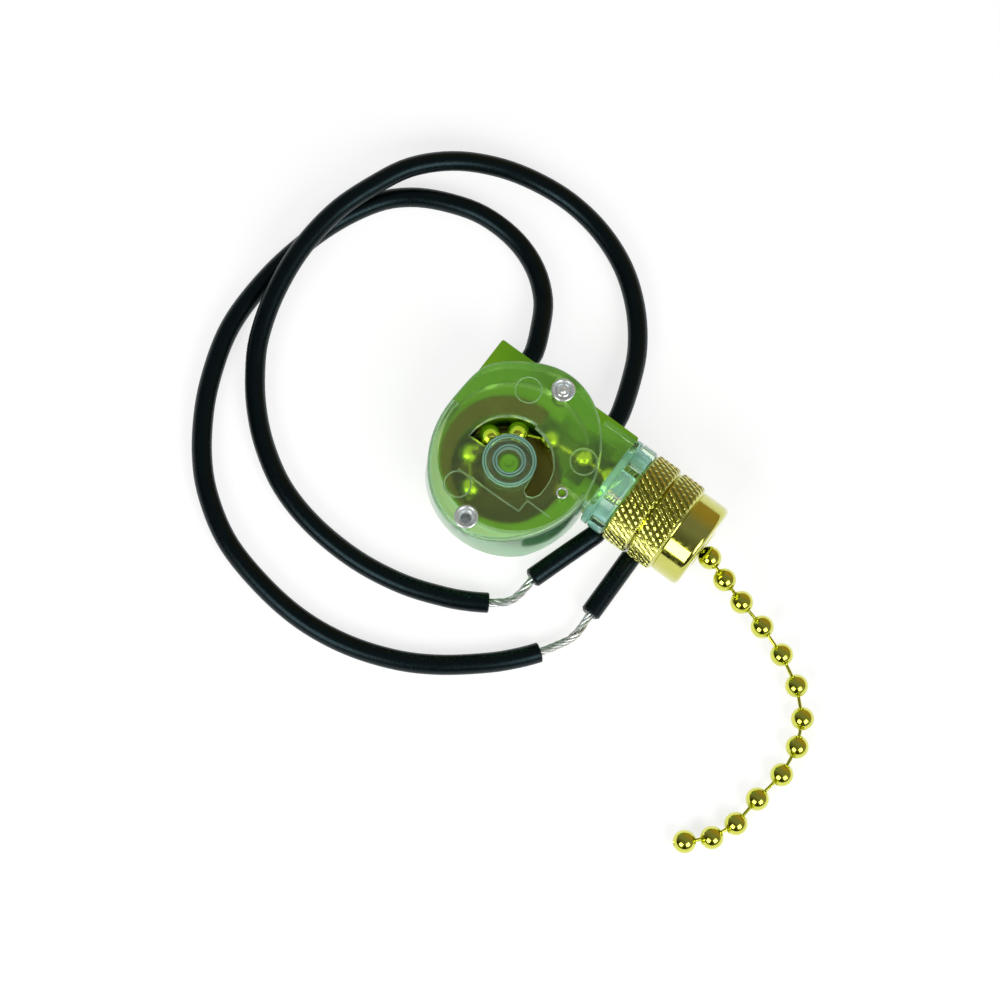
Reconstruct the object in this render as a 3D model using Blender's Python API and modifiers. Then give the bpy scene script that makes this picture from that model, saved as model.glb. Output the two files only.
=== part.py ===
"""A canopy pull-chain switch, lying on its back with its chain and leads laid out.

Frame: metres, +Z up. The origin is on the flat back of the base, under the middle of the round cover.
+X runs out along the threaded neck, and +Y points to the side where the two leads come out.
"""

import math

import bmesh
import bpy
from mathutils import Matrix, Vector

MM = 0.001

# Clearances
GAP = 0.3 * MM  # between pieces that seat on each other
RUN = 0.2 * MM  # round a piece that turns or slides in another, on the radius

# Round clear cover
COVER_RADIUS = 11.75 * MM
COVER_TOP = 13.1 * MM
COVER_PLATE = 1.5 * MM
COVER_WALL = 1.3 * MM
COVER_ROUND = 1.1 * MM
SKIRT_BOTTOM = 1.5 * MM
LUG_RADIUS = 2.4 * MM
LUG_STEP = 0.1 * MM  # how far the rivet lugs stand back from the cover's face and rim
HUB_RADIUS = 2.75 * MM
HUB_RISE = 0.25 * MM
HUB_RECESS_RADIUS = 2.05 * MM
HUB_RECESS_DEPTH = 0.6 * MM
WINDOW_INNER = 3.55 * MM
WINDOW_OUTER_CHAIN = 6.4 * MM
WINDOW_OUTER_PLAIN = 5.85 * MM
WINDOW_START = math.radians(-17)
WINDOW_STEP = math.radians(90)
WINDOW_END = math.radians(183)

# Base with its square terminal block, whose sides are set from the round cover and its upper rivet
BLOCK_LEFT_INSET = 0.65 * MM
BLOCK_RIGHT_INSET = 0.05 * MM
BLOCK_BEHIND_RIVET = 2.1 * MM
BLOCK_FRONT = 2.0 * MM
BLOCK_TOP = 8.5 * MM
BLOCK_EDGE = 0.3 * MM
BASE_FLOOR = 1.5 * MM
POST_RADIUS = 1.3 * MM
POST_BELOW_TOP = 0.8 * MM
PIN_RADIUS = 0.55 * MM
PIN_X = 8.25 * MM
PIN_Y = -0.6 * MM

# Rivets that hold the cover to the base
RIVET_INSET = 0.75 * MM  # from the cover's side to the middle of a rivet
RIVET_SHANK = 1.0 * MM
RIVET_BORE = 0.55 * MM
RIVET_HEAD = 1.65 * MM
RIVET_HEAD_HEIGHT = 0.5 * MM
RIVET_ROLL = 1.45 * MM
RIVET_ROLL_HEIGHT = 0.4 * MM
RIVET_SINK = 0.1 * MM  # how far the rolled end stays inside the flat back

# Threaded neck and its two knurled nuts
NECK_RISE = 2.1 * MM  # from the top of the chain's pitch circle on the spool to the neck's axis
NECK_Z = 6.85 * MM
COLLAR_RADIUS = 6.75 * MM
COLLAR_LENGTH = 3.2 * MM
COLLAR_ROUND = 0.7 * MM
SHOULDER_START = 7.0 * MM
SHOULDER_HALF_WIDTH = 5.6 * MM
SHOULDER_TOP = 12.7 * MM
THREAD_RADIUS = 4.75 * MM
NECK_BORE = 2.5 * MM
FLANGE_RADIUS = 5.1 * MM
FLANGE_LENGTH = 1.0 * MM
NUT_EDGE = 0.3 * MM
LOCKNUT_RADIUS = 6.5 * MM
LOCKNUT_LENGTH = 3.45 * MM
CAP_RADIUS = 6.4 * MM
CAP_KNURL_LENGTH = 3.75 * MM
NOSE_RADIUS = 6.0 * MM
NOSE_LENGTH = 4.15 * MM
NOSE_ROUND = 0.5 * MM
NOSE_WALL = 2.3 * MM
MOUTH_RADIUS = 2.2 * MM
MOUTH_FLARE = 0.8 * MM

# Ball chain
BEAD_RADIUS = 1.6 * MM
LINK_RADIUS = 0.4 * MM
PITCH_RADIUS = 5.5 * MM
WRAP_ANGLES = (242, 190.6, 150.4)  # degrees about the spool's axis, from the anchored end
CHAIN_PITCH = 4.33 * MM
RUN_BEADS = 4  # beads on the neck's axis, between the housing and the nose
# Bead centres. The three that leave the spool are in mm, measured across from the neck's axis. Those of
# the free end are in pitches along and across from the last bead in the neck, and the third number is
# the share of the neck's height that is left.
INNER_BEADS = ((-2.0, -2.2), (2.2, -0.4), (7.4, 0.0))
FREE_BEADS = (
    (1.00, -0.09, 0.91), (1.77, -0.32, 0.70), (2.61, -0.51, 0.46), (3.58, -0.68, 0.19), (4.59, -0.99, 0.03),
    (5.54, -1.51, 0), (6.29, -2.25, 0), (6.67, -3.08, 0), (6.79, -4.09, 0), (6.62, -5.17, 0),
    (6.53, -6.20, 0), (6.18, -7.01, 0), (5.57, -7.62, 0),
)
BEAD_CROWN = 65  # degrees up from a bead's middle to its last ring

# Spool, return spring and contact rotor, stacked on the base's post
PIVOT_Y = -1.3 * MM
SPOOL_RADIUS = 7.0 * MM
SPOOL_PLATE = 0.8 * MM
SPOOL_UNDER_BEAD = 0.25 * MM
DRUM_CLEARANCE = 0.4 * MM
DRUM_TOP = 8.6 * MM
CAVITY_CLEARANCE = 0.5 * MM
FORK_THICKNESS = 0.8 * MM
FORK_RISE = 0.9 * MM
LUG_MEAN_RADIUS = 3.6 * MM
LUG_WIDTH = 1.4 * MM
LUG_LENGTH = 1.2 * MM
LUG_COUNT = 4
LUG_TOE = 0.1  # share of a lug's height that is left at the foot of its slope
ROTOR_RADIUS = 4.7 * MM
ROTOR_THICKNESS = 0.6 * MM
ROTOR_TOP = 3.4 * MM
PEG_RADIUS = 0.45 * MM
PEG_OFFSET = 3.2 * MM
BRIDGE_RING = 4.2 * MM
BRIDGE_BORE = 2.0 * MM
BRIDGE_THICKNESS = 0.5 * MM
BRIDGE_TAB_WIDTH = 2.2 * MM
SPRING_RADIUS = 3.4 * MM
SPRING_WIRE = 0.5 * MM
SPRING_TURNS = 1.85
SPRING_POINTS = 10  # for each turn
SPRING_START = math.radians(-120)
SPRING_RISE = 1.8 * MM
SPRING_TAIL_DOWN = 1.2 * MM
SPRING_TAIL_OUT = 1.9 * MM
SPRING_PEG = 0.6 * MM

# Brass terminals
TERMINAL_X = 6.35 * MM
STRIP_THICKNESS = 0.5 * MM
STRIP_BOTTOM = 1.9 * MM
STRIP_TOP = 3.8 * MM
STRIP_START = -2.6 * MM
CONTACT_RADIUS = 0.7 * MM
CONTACT_PROUD = 0.2 * MM
BARREL_RADIUS = 1.3 * MM
BARREL_BORE = 0.9 * MM
BARREL_LENGTH = 2.3 * MM
BARREL_TO_LEAD = 1.1 * MM  # bare core between the barrel and the insulation

# Leads
LEAD_X = 7.4 * MM
LEAD_Z = 3.4 * MM
LEAD_DIAMETER = 2.8 * MM
LEAD_INSERTION = 3.2 * MM
CORE_RADIUS = 0.6 * MM
LEAD_POINT_SPACING = 6.0 * MM
# Routes in mm, from the block's back face to the end of the insulation. The leads lie on the table.
LEFT_ROUTE = (
    (-7.4, 15.4, 3.3), (-8.8, 18.9, 2.8), (-11.1, 22.9, 2.0), (-14.9, 26.1, 1.5), (-19.7, 27.8, 1.4),
    (-25.3, 27.9, 1.4), (-30.5, 26.3, 1.4), (-34.9, 23.8, 1.4), (-38.3, 20.1, 1.4), (-41.3, 13.7, 1.4),
    (-43.2, 5.8, 1.4), (-43.7, -1.5, 1.4), (-43.2, -7.2, 1.4), (-41.4, -12.9, 1.4), (-38.9, -18.1, 1.4),
    (-35.2, -23.4, 1.4), (-31.0, -27.4, 1.4), (-25.0, -30.9, 1.4), (-17.7, -32.8, 1.4), (-10.6, -33.4, 1.4),
    (-3.7, -32.5, 1.4), (2.9, -30.2, 1.4), (8.2, -27.1, 1.4), (13.4, -22.8, 1.4), (16.4, -19.6, 1.4),
    (18.0, -17.5, 1.4),
)
RIGHT_ROUTE = (
    (7.3, 15.4, 3.3), (5.8, 20.1, 2.8), (3.6, 25.0, 2.0), (0.0, 29.7, 1.5), (-4.7, 33.5, 1.4),
    (-10.2, 35.9, 1.4), (-16.1, 36.9, 1.4), (-21.8, 36.4, 1.8), (-27.4, 34.6, 2.6), (-32.7, 31.3, 3.6),
    (-36.9, 26.6, 4.4), (-39.4, 21.1, 4.7), (-41.3, 14.8, 4.7), (-41.8, 7.5, 4.5), (-40.9, 0.5, 3.8),
    (-39.0, -5.5, 2.8), (-36.6, -9.6, 2.0), (-33.3, -13.6, 1.6), (-29.1, -17.2, 1.4), (-23.6, -20.3, 1.4),
    (-17.0, -22.0, 1.4), (-9.5, -22.3, 1.4), (-2.6, -21.2, 1.4), (3.0, -19.2, 1.4), (6.2, -17.6, 1.4),
    (8.4, -16.2, 1.4),
)
# Bare strands and the loose slug of insulation at each far end, in mm.
LEFT_STRANDS = ((18.2, -17.2, 1.4), (20.3, -13.4, 1.4), (20.6, -10.8, 1.4), (20.4, -8.8, 1.4))
LEFT_SLUG = ((20.4, -8.4, 1.4), (20.6, 0.6, 1.4))
RIGHT_STRANDS = ((8.7, -16.0, 1.4), (10.6, -14.4, 1.4), (10.9, -12.2, 1.4), (10.7, -10.4, 1.4))
RIGHT_SLUG = ((10.7, -10.0, 1.4), (14.2, -0.9, 1.4))

# Sizes that follow from the ones above
BLOCK_LEFT = BLOCK_LEFT_INSET - COVER_RADIUS
BLOCK_RIGHT = COVER_RADIUS - BLOCK_RIGHT_INSET
RIVET_Y = COVER_RADIUS - RIVET_INSET
BLOCK_BACK = RIVET_Y + BLOCK_BEHIND_RIVET
NECK_Y = PIVOT_Y + PITCH_RADIUS + NECK_RISE
COLLAR_START = BLOCK_RIGHT + GAP
PIVOT = Vector((0, PIVOT_Y, 0))
NECK = Vector((0, NECK_Y, NECK_Z))
UNDER_COVER = COVER_TOP - COVER_PLATE
COVER_INNER = COVER_RADIUS - COVER_WALL
BASE_RADIUS = COVER_INNER - GAP
PLATE_TOP = NECK_Z - BEAD_RADIUS - SPOOL_UNDER_BEAD
PLATE_BOTTOM = PLATE_TOP - SPOOL_PLATE
DRUM_RADIUS = PITCH_RADIUS - BEAD_RADIUS - DRUM_CLEARANCE
CAVITY_RADIUS = max(PITCH_RADIUS + BEAD_RADIUS, SPOOL_RADIUS) + CAVITY_CLEARANCE
PIVOT_BORE = POST_RADIUS + RUN
CHANNEL_FLOOR = NECK_Z - BEAD_RADIUS - 2 * RUN
FORK_ANGLE = math.radians(WRAP_ANGLES[0] + WRAP_ANGLES[1]) / 2
ROTOR_BOTTOM = ROTOR_TOP - ROTOR_THICKNESS
BRIDGE_TOP = ROTOR_BOTTOM - GAP
BRIDGE_BOTTOM = BRIDGE_TOP - BRIDGE_THICKNESS
COLLAR_END = COLLAR_START + COLLAR_LENGTH
FLANGE_END = COLLAR_START + FLANGE_LENGTH
LOCKNUT_START = COLLAR_END + GAP
LOCKNUT_END = LOCKNUT_START + LOCKNUT_LENGTH
CAP_START = LOCKNUT_END + GAP
CAP_SHOULDER = CAP_START + CAP_KNURL_LENGTH
NOSE_END = CAP_SHOULDER + NOSE_LENGTH
MOUTH_START = NOSE_END - NOSE_WALL
THREAD_END = MOUTH_START - GAP
LEAD_RADIUS = LEAD_DIAMETER / 2
LEAD_START = BLOCK_BACK - LEAD_INSERTION
BARREL_START = LEAD_START - BARREL_TO_LEAD - BARREL_LENGTH
RIVET_HOLE = RIVET_SHANK + RUN
PAST = 1.0 * MM  # how far a cutter runs past the wall it cuts

SIDES = 32
SMALL_SIDES = 16
TINY_SIDES = 10


def clear_scene():
    for old in list(bpy.data.objects):
        bpy.data.objects.remove(old, do_unlink=True)


def new_collection(name):
    collection = bpy.data.collections.new(name)
    bpy.context.scene.collection.children.link(collection)
    return collection


def material(name, colour, roughness, metallic=0.0):
    made = bpy.data.materials.new(name)
    made.use_nodes = True
    shader = made.node_tree.nodes["Principled BSDF"]
    shader.inputs["Base Color"].default_value = (*colour, 1)
    shader.inputs["Roughness"].default_value = roughness
    shader.inputs["Metallic"].default_value = metallic
    return made


def add_object(name, data, location=(0, 0, 0), finish=None):
    """A part when it has a finish, and otherwise a helper for Booleans, which isn't rendered."""
    made = bpy.data.objects.new(name, data)
    made.location = location
    if finish:
        PARTS.objects.link(made)
        data.materials.append(finish)
    else:
        CUTTERS.objects.link(made)
        made.hide_render = True
        made.display_type = "WIRE"
    return made


def mesh_object(name, bm, location=(0, 0, 0), finish=None):
    mesh = bpy.data.meshes.new(name)
    bm.to_mesh(mesh)
    bm.free()
    mesh.shade_smooth()
    mesh.set_sharp_from_angle(angle=math.radians(35))
    return add_object(name, mesh, location, finish)


def box(name, low, high, location=(0, 0, 0), finish=None):
    low, high = Vector(low), Vector(high)
    bm = bmesh.new()
    bmesh.ops.create_cube(bm, size=1)
    bmesh.ops.scale(bm, vec=high - low, verts=bm.verts)
    bmesh.ops.translate(bm, vec=(low + high) / 2, verts=bm.verts)
    return mesh_object(name, bm, location, finish)


def rod(name, start, end, radius, sides=SMALL_SIDES, location=(0, 0, 0), finish=None):
    """A closed cylinder between two points, given relative to location."""
    start, end = Vector(start), Vector(end)
    axis = end - start
    bm = bmesh.new()
    bmesh.ops.create_cone(
        bm, cap_ends=True, segments=sides, radius1=radius, radius2=radius, depth=axis.length
    )
    turn = Vector((0, 0, 1)).rotation_difference(axis).to_matrix()
    bmesh.ops.rotate(bm, matrix=turn, verts=bm.verts)
    bmesh.ops.translate(bm, vec=(start + end) / 2, verts=bm.verts)
    return mesh_object(name, bm, location, finish)


def turned(name, profile, location=(0, 0, 0), along=(0, 0, 1), steps=SIDES, closed=False, finish=None):
    """A profile of (radius, height) points, down its outer side, turned about an axis through location."""
    bm = bmesh.new()
    points = [bm.verts.new((radius, 0, height)) for radius, height in profile]
    ends = points[1:] + points[:1] if closed else points[1:]
    for first, second in zip(points, ends):
        bm.edges.new((first, second))
    made = mesh_object(name, bm, location, finish)
    made.rotation_mode = "QUATERNION"
    made.rotation_quaternion = Vector((0, 0, 1)).rotation_difference(Vector(along))
    screw = made.modifiers.new("Turn", "SCREW")
    screw.steps = screw.render_steps = steps
    screw.use_merge_vertices = True
    screw.merge_threshold = 0.01 * MM
    screw.use_smooth_shade = True
    return made


def rounded(centre, radius, start, end, steps=3):
    """Points of an arc, from one angle to another in degrees."""
    turn = [math.radians(start + (end - start) * i / steps) for i in range(steps + 1)]
    return [(centre[0] + radius * math.cos(a), centre[1] + radius * math.sin(a)) for a in turn]


def outline_cutter(name, points, bottom, top, location=(0, 0, 0)):
    """A flat outline, made solid between two heights and turned into a mesh, so that it can cut."""
    curve = bpy.data.curves.new(name, "CURVE")
    curve.dimensions = "2D"
    curve.fill_mode = "BOTH"
    curve.extrude = (top - bottom) / 2
    spline = curve.splines.new("POLY")
    spline.points.add(len(points) - 1)
    for point, (x, y) in zip(spline.points, points):
        point.co = (x, y, 0, 1)
    spline.use_cyclic_u = True
    flat = add_object(name + "_outline", curve)
    graph = bpy.context.evaluated_depsgraph_get()
    bm = bmesh.new()
    bm.from_mesh(bpy.data.meshes.new_from_object(flat.evaluated_get(graph)))
    bmesh.ops.remove_doubles(bm, verts=bm.verts, dist=0.001 * MM)
    bmesh.ops.recalc_face_normals(bm, faces=bm.faces)
    bmesh.ops.translate(bm, vec=(0, 0, (top + bottom) / 2), verts=bm.verts)
    bpy.data.objects.remove(flat)
    return mesh_object(name, bm, location)


def combine(target, operation, tools, solver):
    for tool in tools:
        modifier = target.modifiers.new(tool.name, "BOOLEAN")
        modifier.operation = operation
        modifier.solver = solver
        modifier.object = tool


def join(target, *tools, solver="EXACT"):
    combine(target, "UNION", tools, solver)


def cut(target, *tools, solver="EXACT"):
    combine(target, "DIFFERENCE", tools, solver)


def tube(name, points, radius, finish, sides_level=2):
    """A wire or cord along points in metres, with closed ends."""
    curve = bpy.data.curves.new(name, "CURVE")
    curve.dimensions = "3D"
    curve.bevel_depth = radius
    curve.bevel_resolution = sides_level
    curve.use_fill_caps = True
    spline = curve.splines.new("POLY")
    spline.points.add(len(points) - 1)
    for point, place in zip(spline.points, points):
        point.co = (*place, 1)
    spline.use_smooth = True
    return add_object(name, curve, finish=finish)


def in_metres(points):
    return [Vector(point) * MM for point in points]


def smooth_path(route, spacing):
    """Evenly spaced points on one smooth curve through the route's points."""
    route = [2 * route[0] - route[1], *route, 2 * route[-1] - route[-2]]
    fine = []
    for before, here, after, beyond in zip(route, route[1:], route[2:], route[3:]):
        for i in range(12):
            t = i / 12
            fine.append(
                here
                + (after - before) * (t / 2)
                + (2 * before - 5 * here + 4 * after - beyond) * (t * t / 2)
                + (3 * here - before - 3 * after + beyond) * (t * t * t / 2)
            )
    fine.append(route[-2])
    lengths = [0.0]
    for first, second in zip(fine, fine[1:]):
        lengths.append(lengths[-1] + (second - first).length)
    count = max(2, round(lengths[-1] / spacing))
    path = []
    at = 0
    for i in range(count + 1):
        wanted = lengths[-1] * i / count
        while at < len(fine) - 2 and lengths[at + 1] < wanted:
            at += 1
        share = (wanted - lengths[at]) / (lengths[at + 1] - lengths[at])
        path.append(fine[at].lerp(fine[at + 1], share))
    return path


def polar(radius, angle, height=0.0):
    return Vector((radius * math.cos(angle), radius * math.sin(angle), height))


def parent_to(empty, *pieces):
    """Hang pieces on an empty without moving them."""
    for piece in pieces:
        piece.parent = empty
        piece.location = Vector(piece.location) - empty.location


def axis_empty(name, location):
    empty = bpy.data.objects.new(name, None)
    empty.location = location
    empty.empty_display_size = 5 * MM
    PARTS.objects.link(empty)
    return empty


def make_base():
    base = box(
        "base", (BLOCK_LEFT, BLOCK_FRONT, 0), (BLOCK_RIGHT, BLOCK_BACK, BLOCK_TOP), finish=GREEN_PLASTIC
    )
    edges = base.modifiers.new("Edges", "BEVEL")
    edges.width = BLOCK_EDGE
    edges.segments = 2
    tab_top = SKIRT_BOTTOM - GAP
    join(
        base,
        rod("base_disc", (0, 0, 0), (0, 0, BLOCK_TOP), BASE_RADIUS, SIDES),
        rod("base_tab_round", (0, -RIVET_Y, 0), (0, -RIVET_Y, tab_top), LUG_RADIUS),
        box("base_tab", (-LUG_RADIUS, -RIVET_Y, 0), (LUG_RADIUS, 0, tab_top)),
    )
    above = BLOCK_TOP + PAST
    channel_high = NECK_Y + BEAD_RADIUS + GAP
    channel_low, neck_low = (NECK_Y + y * MM - BEAD_RADIUS - GAP for x, y in INNER_BEADS[:2])
    cut(
        base,
        rod("cavity", (0, 0, BASE_FLOOR), (0, 0, above), CAVITY_RADIUS, SIDES, PIVOT),
        box(
            "chain_channel",
            (0, channel_low, CHANNEL_FLOOR),
            (CAVITY_RADIUS + BEAD_RADIUS, channel_high, above),
        ),
        box("neck_channel", (0, neck_low, CHANNEL_FLOOR), (BLOCK_RIGHT + PAST, channel_high, above)),
    )
    for side, name in ((-1, "left"), (1, "right")):
        cut_terminal_seat(base, side, name)
    for side, name in ((1, "upper"), (-1, "lower")):
        place = (0, side * RIVET_Y, 0)
        roll_top = RIVET_SINK + RIVET_ROLL_HEIGHT + GAP
        cut(
            base,
            rod(f"base_rivet_hole_{name}", (0, 0, -PAST), (0, 0, above), RIVET_HOLE, location=place),
            rod(
                f"base_rivet_seat_{name}", (0, 0, -PAST), (0, 0, roll_top), RIVET_ROLL + RUN, location=place
            ),
        )
    pin_place = (PIN_X, PIN_Y, 0)
    join(
        base,
        rod("post", (0, 0, BASE_FLOOR / 2), (0, 0, COVER_TOP - POST_BELOW_TOP), POST_RADIUS, location=PIVOT),
        rod("pin", (0, 0, BLOCK_TOP / 2), (0, 0, COVER_TOP), PIN_RADIUS, TINY_SIDES, pin_place),
    )


def cut_terminal_seat(base, side, name):
    """The hole that takes a lead, and the open-topped pocket and slot that take its terminal."""
    above = BLOCK_TOP + PAST
    floor = STRIP_BOTTOM - GAP
    lead_end = LEAD_START - GAP
    x = side * LEAD_X
    reach = BARREL_RADIUS + GAP
    near, far = sorted((side * (TERMINAL_X - GAP), side * (TERMINAL_X + STRIP_THICKNESS + GAP)))
    cut(
        base,
        rod(f"lead_hole_{name}", (x, lead_end, LEAD_Z), (x, BLOCK_BACK + PAST, LEAD_Z), LEAD_RADIUS + RUN),
        box(
            f"barrel_pocket_{name}",
            (x - reach, BARREL_START - GAP, floor),
            (x + reach, LEAD_START, above),
        ),
        box(f"strip_slot_{name}", (near, PIVOT_Y, floor), (far, BARREL_START + GAP, above)),
    )


def make_cover():
    """The clear cap, with its hub, its lugs for the rivets and the collar round the neck."""

    def cap_profile(radius, bottom, top):
        top_round = rounded((radius - COVER_ROUND, top - COVER_ROUND), COVER_ROUND, 90, 0)
        return [(0, top), *top_round, (radius, bottom), (0, bottom)]

    cover = turned("cover", cap_profile(COVER_RADIUS, SKIRT_BOTTOM, COVER_TOP), finish=CLEAR_PLASTIC)
    lug = cap_profile(LUG_RADIUS, SKIRT_BOTTOM + LUG_STEP, COVER_TOP - LUG_STEP)
    for side, name in ((1, "upper"), (-1, "lower")):
        join(cover, turned(f"lug_{name}", lug, (0, side * RIVET_Y, 0), steps=SMALL_SIDES), solver="MANIFOLD")
    over_block = BLOCK_TOP + GAP
    far = 2 * COVER_RADIUS
    cut(
        cover,
        rod("cover_hollow", (0, 0, 0), (0, 0, UNDER_COVER), COVER_INNER, SIDES),
        box("block_notch", (-far, BLOCK_FRONT - GAP, 0), (far, far, over_block)),
        solver="MANIFOLD",
    )
    peg_angle = SPRING_START + SPRING_TURNS * 2 * math.pi + math.radians(25)
    peg_place = PIVOT + polar(SPRING_RADIUS + SPRING_TAIL_OUT, peg_angle)
    spring_top = DRUM_TOP + GAP + SPRING_WIRE + SPRING_RISE
    collar_round = rounded((COLLAR_RADIUS - COLLAR_ROUND, -COLLAR_ROUND), COLLAR_ROUND, 90, 0)
    collar_foot = rounded(
        (COLLAR_RADIUS - COLLAR_ROUND, COLLAR_ROUND - COLLAR_LENGTH), COLLAR_ROUND, 0, -90
    )
    collar_bore = [
        (0, COLLAR_END + PAST),
        (THREAD_RADIUS + RUN, COLLAR_END + PAST),
        (THREAD_RADIUS + RUN, FLANGE_END + GAP),
        (FLANGE_RADIUS + RUN, FLANGE_END + GAP),
        (FLANGE_RADIUS + RUN, BLOCK_RIGHT),
        (0, BLOCK_RIGHT),
    ]
    join(
        cover,
        rod("hub", (0, 0, DRUM_TOP + GAP), (0, 0, COVER_TOP + HUB_RISE), HUB_RADIUS, SIDES, PIVOT),
        rod(
            "spring_peg",
            (0, 0, spring_top - 2 * SPRING_WIRE),
            (0, 0, UNDER_COVER + COVER_PLATE / 2),
            SPRING_PEG,
            TINY_SIDES,
            peg_place,
        ),
        box(
            "shoulder",
            (SHOULDER_START, NECK_Y - SHOULDER_HALF_WIDTH, over_block),
            (COLLAR_START + COLLAR_LENGTH / 2, NECK_Y + SHOULDER_HALF_WIDTH, SHOULDER_TOP),
        ),
        turned(
            "collar",
            [(0, 0), *collar_round, *collar_foot, (0, -COLLAR_LENGTH)],
            (COLLAR_END, NECK_Y, NECK_Z),
            (1, 0, 0),
        ),
        solver="MANIFOLD",
    )
    cut(
        cover,
        rod("hub_bore", (0, 0, 0), (0, 0, COVER_TOP + PAST), PIVOT_BORE, location=PIVOT),
        rod(
            "hub_recess",
            (0, 0, COVER_TOP + HUB_RISE - HUB_RECESS_DEPTH),
            (0, 0, COVER_TOP + PAST),
            HUB_RECESS_RADIUS,
            location=PIVOT,
        ),
        outline_cutter("window", window_outline(), UNDER_COVER - PAST, COVER_TOP + PAST, PIVOT),
        turned("collar_bore", collar_bore, NECK, (1, 0, 0)),
        rod("pin_hole", (0, 0, 0), (0, 0, COVER_TOP + PAST), PIN_RADIUS + RUN, TINY_SIDES, (PIN_X, PIN_Y, 0)),
        *(
            rod(f"cover_rivet_hole_{i}", (0, 0, 0), (0, 0, COVER_TOP + PAST), RIVET_HOLE, location=(0, y, 0))
            for i, y in enumerate((RIVET_Y, -RIVET_Y))
        ),
        solver="MANIFOLD",
    )


def window_outline():
    """The open slot over the chain: an arc about the hub, wider on the half where the chain winds on."""

    def arc(radius, start, end, steps):
        return rounded((0, 0), radius, math.degrees(start), math.degrees(end), steps)

    return [
        *arc(WINDOW_OUTER_PLAIN, WINDOW_START, WINDOW_STEP, 8),
        *arc(WINDOW_OUTER_CHAIN, WINDOW_STEP, WINDOW_END, 8),
        *arc(WINDOW_INNER, WINDOW_END, WINDOW_START, 14),
    ]


def make_rivets():
    """Tubular rivets with a rounded head on the cover and a rolled end sunk in the base's back."""
    head_bottom = COVER_TOP + GAP
    head_round = RIVET_HEAD_HEIGHT / 2
    head = rounded((RIVET_HEAD - head_round, head_bottom + head_round), head_round, 90, -90)
    roll_round = RIVET_ROLL_HEIGHT / 2
    roll = rounded((RIVET_ROLL - roll_round, RIVET_SINK + roll_round), roll_round, 90, -90)
    profile = [
        (RIVET_BORE, head_bottom),
        (RIVET_BORE + head_round, head_bottom + RIVET_HEAD_HEIGHT),
        *head,
        (RIVET_SHANK, head_bottom),
        (RIVET_SHANK, RIVET_SINK + RIVET_ROLL_HEIGHT),
        *roll,
        (RIVET_BORE, RIVET_SINK),
    ]
    for side, name in ((1, "rivet_upper"), (-1, "rivet_lower")):
        turned(name, profile, (0, side * RIVET_Y, 0), steps=SMALL_SIDES, closed=True, finish=STEEL)


def drive_lugs(name, base_height, rise, offset):
    """Ratchet lugs in a ring: each is a block whose one side slopes away from its upright drive face."""
    lugs = []
    up = 1 if rise > 0 else -1
    for i in range(LUG_COUNT):
        bm = bmesh.new()
        bmesh.ops.create_cube(bm, size=1)
        for vert in bm.verts:
            sloping = vert.co.y * up < 0 and vert.co.z * up > 0
            height = LUG_TOE if sloping else 1.0
            vert.co = (
                LUG_MEAN_RADIUS + vert.co.x * LUG_WIDTH,
                vert.co.y * LUG_LENGTH,
                base_height + (rise * height if vert.co.z * up > 0 else -rise / 2),
            )
        angle = 2 * math.pi * i / LUG_COUNT + offset
        bmesh.ops.rotate(bm, matrix=Matrix.Rotation(angle, 3, "Z"), verts=bm.verts)
        bmesh.ops.recalc_face_normals(bm, faces=bm.faces)
        lugs.append(mesh_object(f"{name}_{i}", bm, PIVOT))
    return lugs


def make_spool():
    spool = turned(
        "spool",
        [
            (PIVOT_BORE, DRUM_TOP),
            (DRUM_RADIUS, DRUM_TOP),
            (DRUM_RADIUS, PLATE_TOP),
            (SPOOL_RADIUS, PLATE_TOP),
            (SPOOL_RADIUS, PLATE_BOTTOM),
            (PIVOT_BORE, PLATE_BOTTOM),
        ],
        PIVOT,
        closed=True,
        finish=BROWN_PLASTIC,
    )
    lug_inner, half_lug = LUG_MEAN_RADIUS - LUG_WIDTH / 2, LUG_LENGTH / 2
    behind = math.atan2(half_lug, lug_inner) + math.asin((half_lug + GAP) / math.hypot(half_lug, lug_inner))
    join(spool, *drive_lugs("spool_lug", PLATE_BOTTOM, -(PLATE_BOTTOM - ROTOR_TOP - GAP), behind))
    fork = box(
        "anchor_fork",
        (DRUM_RADIUS / 2, -FORK_THICKNESS / 2, PLATE_TOP - SPOOL_PLATE / 2),
        (SPOOL_RADIUS - GAP, FORK_THICKNESS / 2, NECK_Z + FORK_RISE),
        PIVOT,
    )
    fork.rotation_euler.z = FORK_ANGLE
    join(spool, fork)
    half_angle = math.radians(WRAP_ANGLES[0] - WRAP_ANGLES[1]) / 2
    link_radius = PITCH_RADIUS * math.cos(half_angle)
    slot = LINK_RADIUS + GAP
    link_slot = box(
        "fork_slot",
        (link_radius - slot, -FORK_THICKNESS, NECK_Z - slot),
        (link_radius + slot, FORK_THICKNESS, NECK_Z + FORK_RISE + PAST),
        PIVOT,
    )
    link_slot.rotation_euler.z = FORK_ANGLE
    tail = polar(SPRING_RADIUS, SPRING_START)
    notch_bottom = DRUM_TOP + GAP + SPRING_WIRE / 2 - SPRING_TAIL_DOWN - GAP
    cut(
        spool,
        link_slot,
        rod(
            "spring_notch",
            tail + Vector((0, 0, notch_bottom)),
            tail + Vector((0, 0, DRUM_TOP + PAST)),
            SPRING_WIRE / 2 + GAP,
            TINY_SIDES,
            PIVOT,
        ),
    )
    return spool


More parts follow.
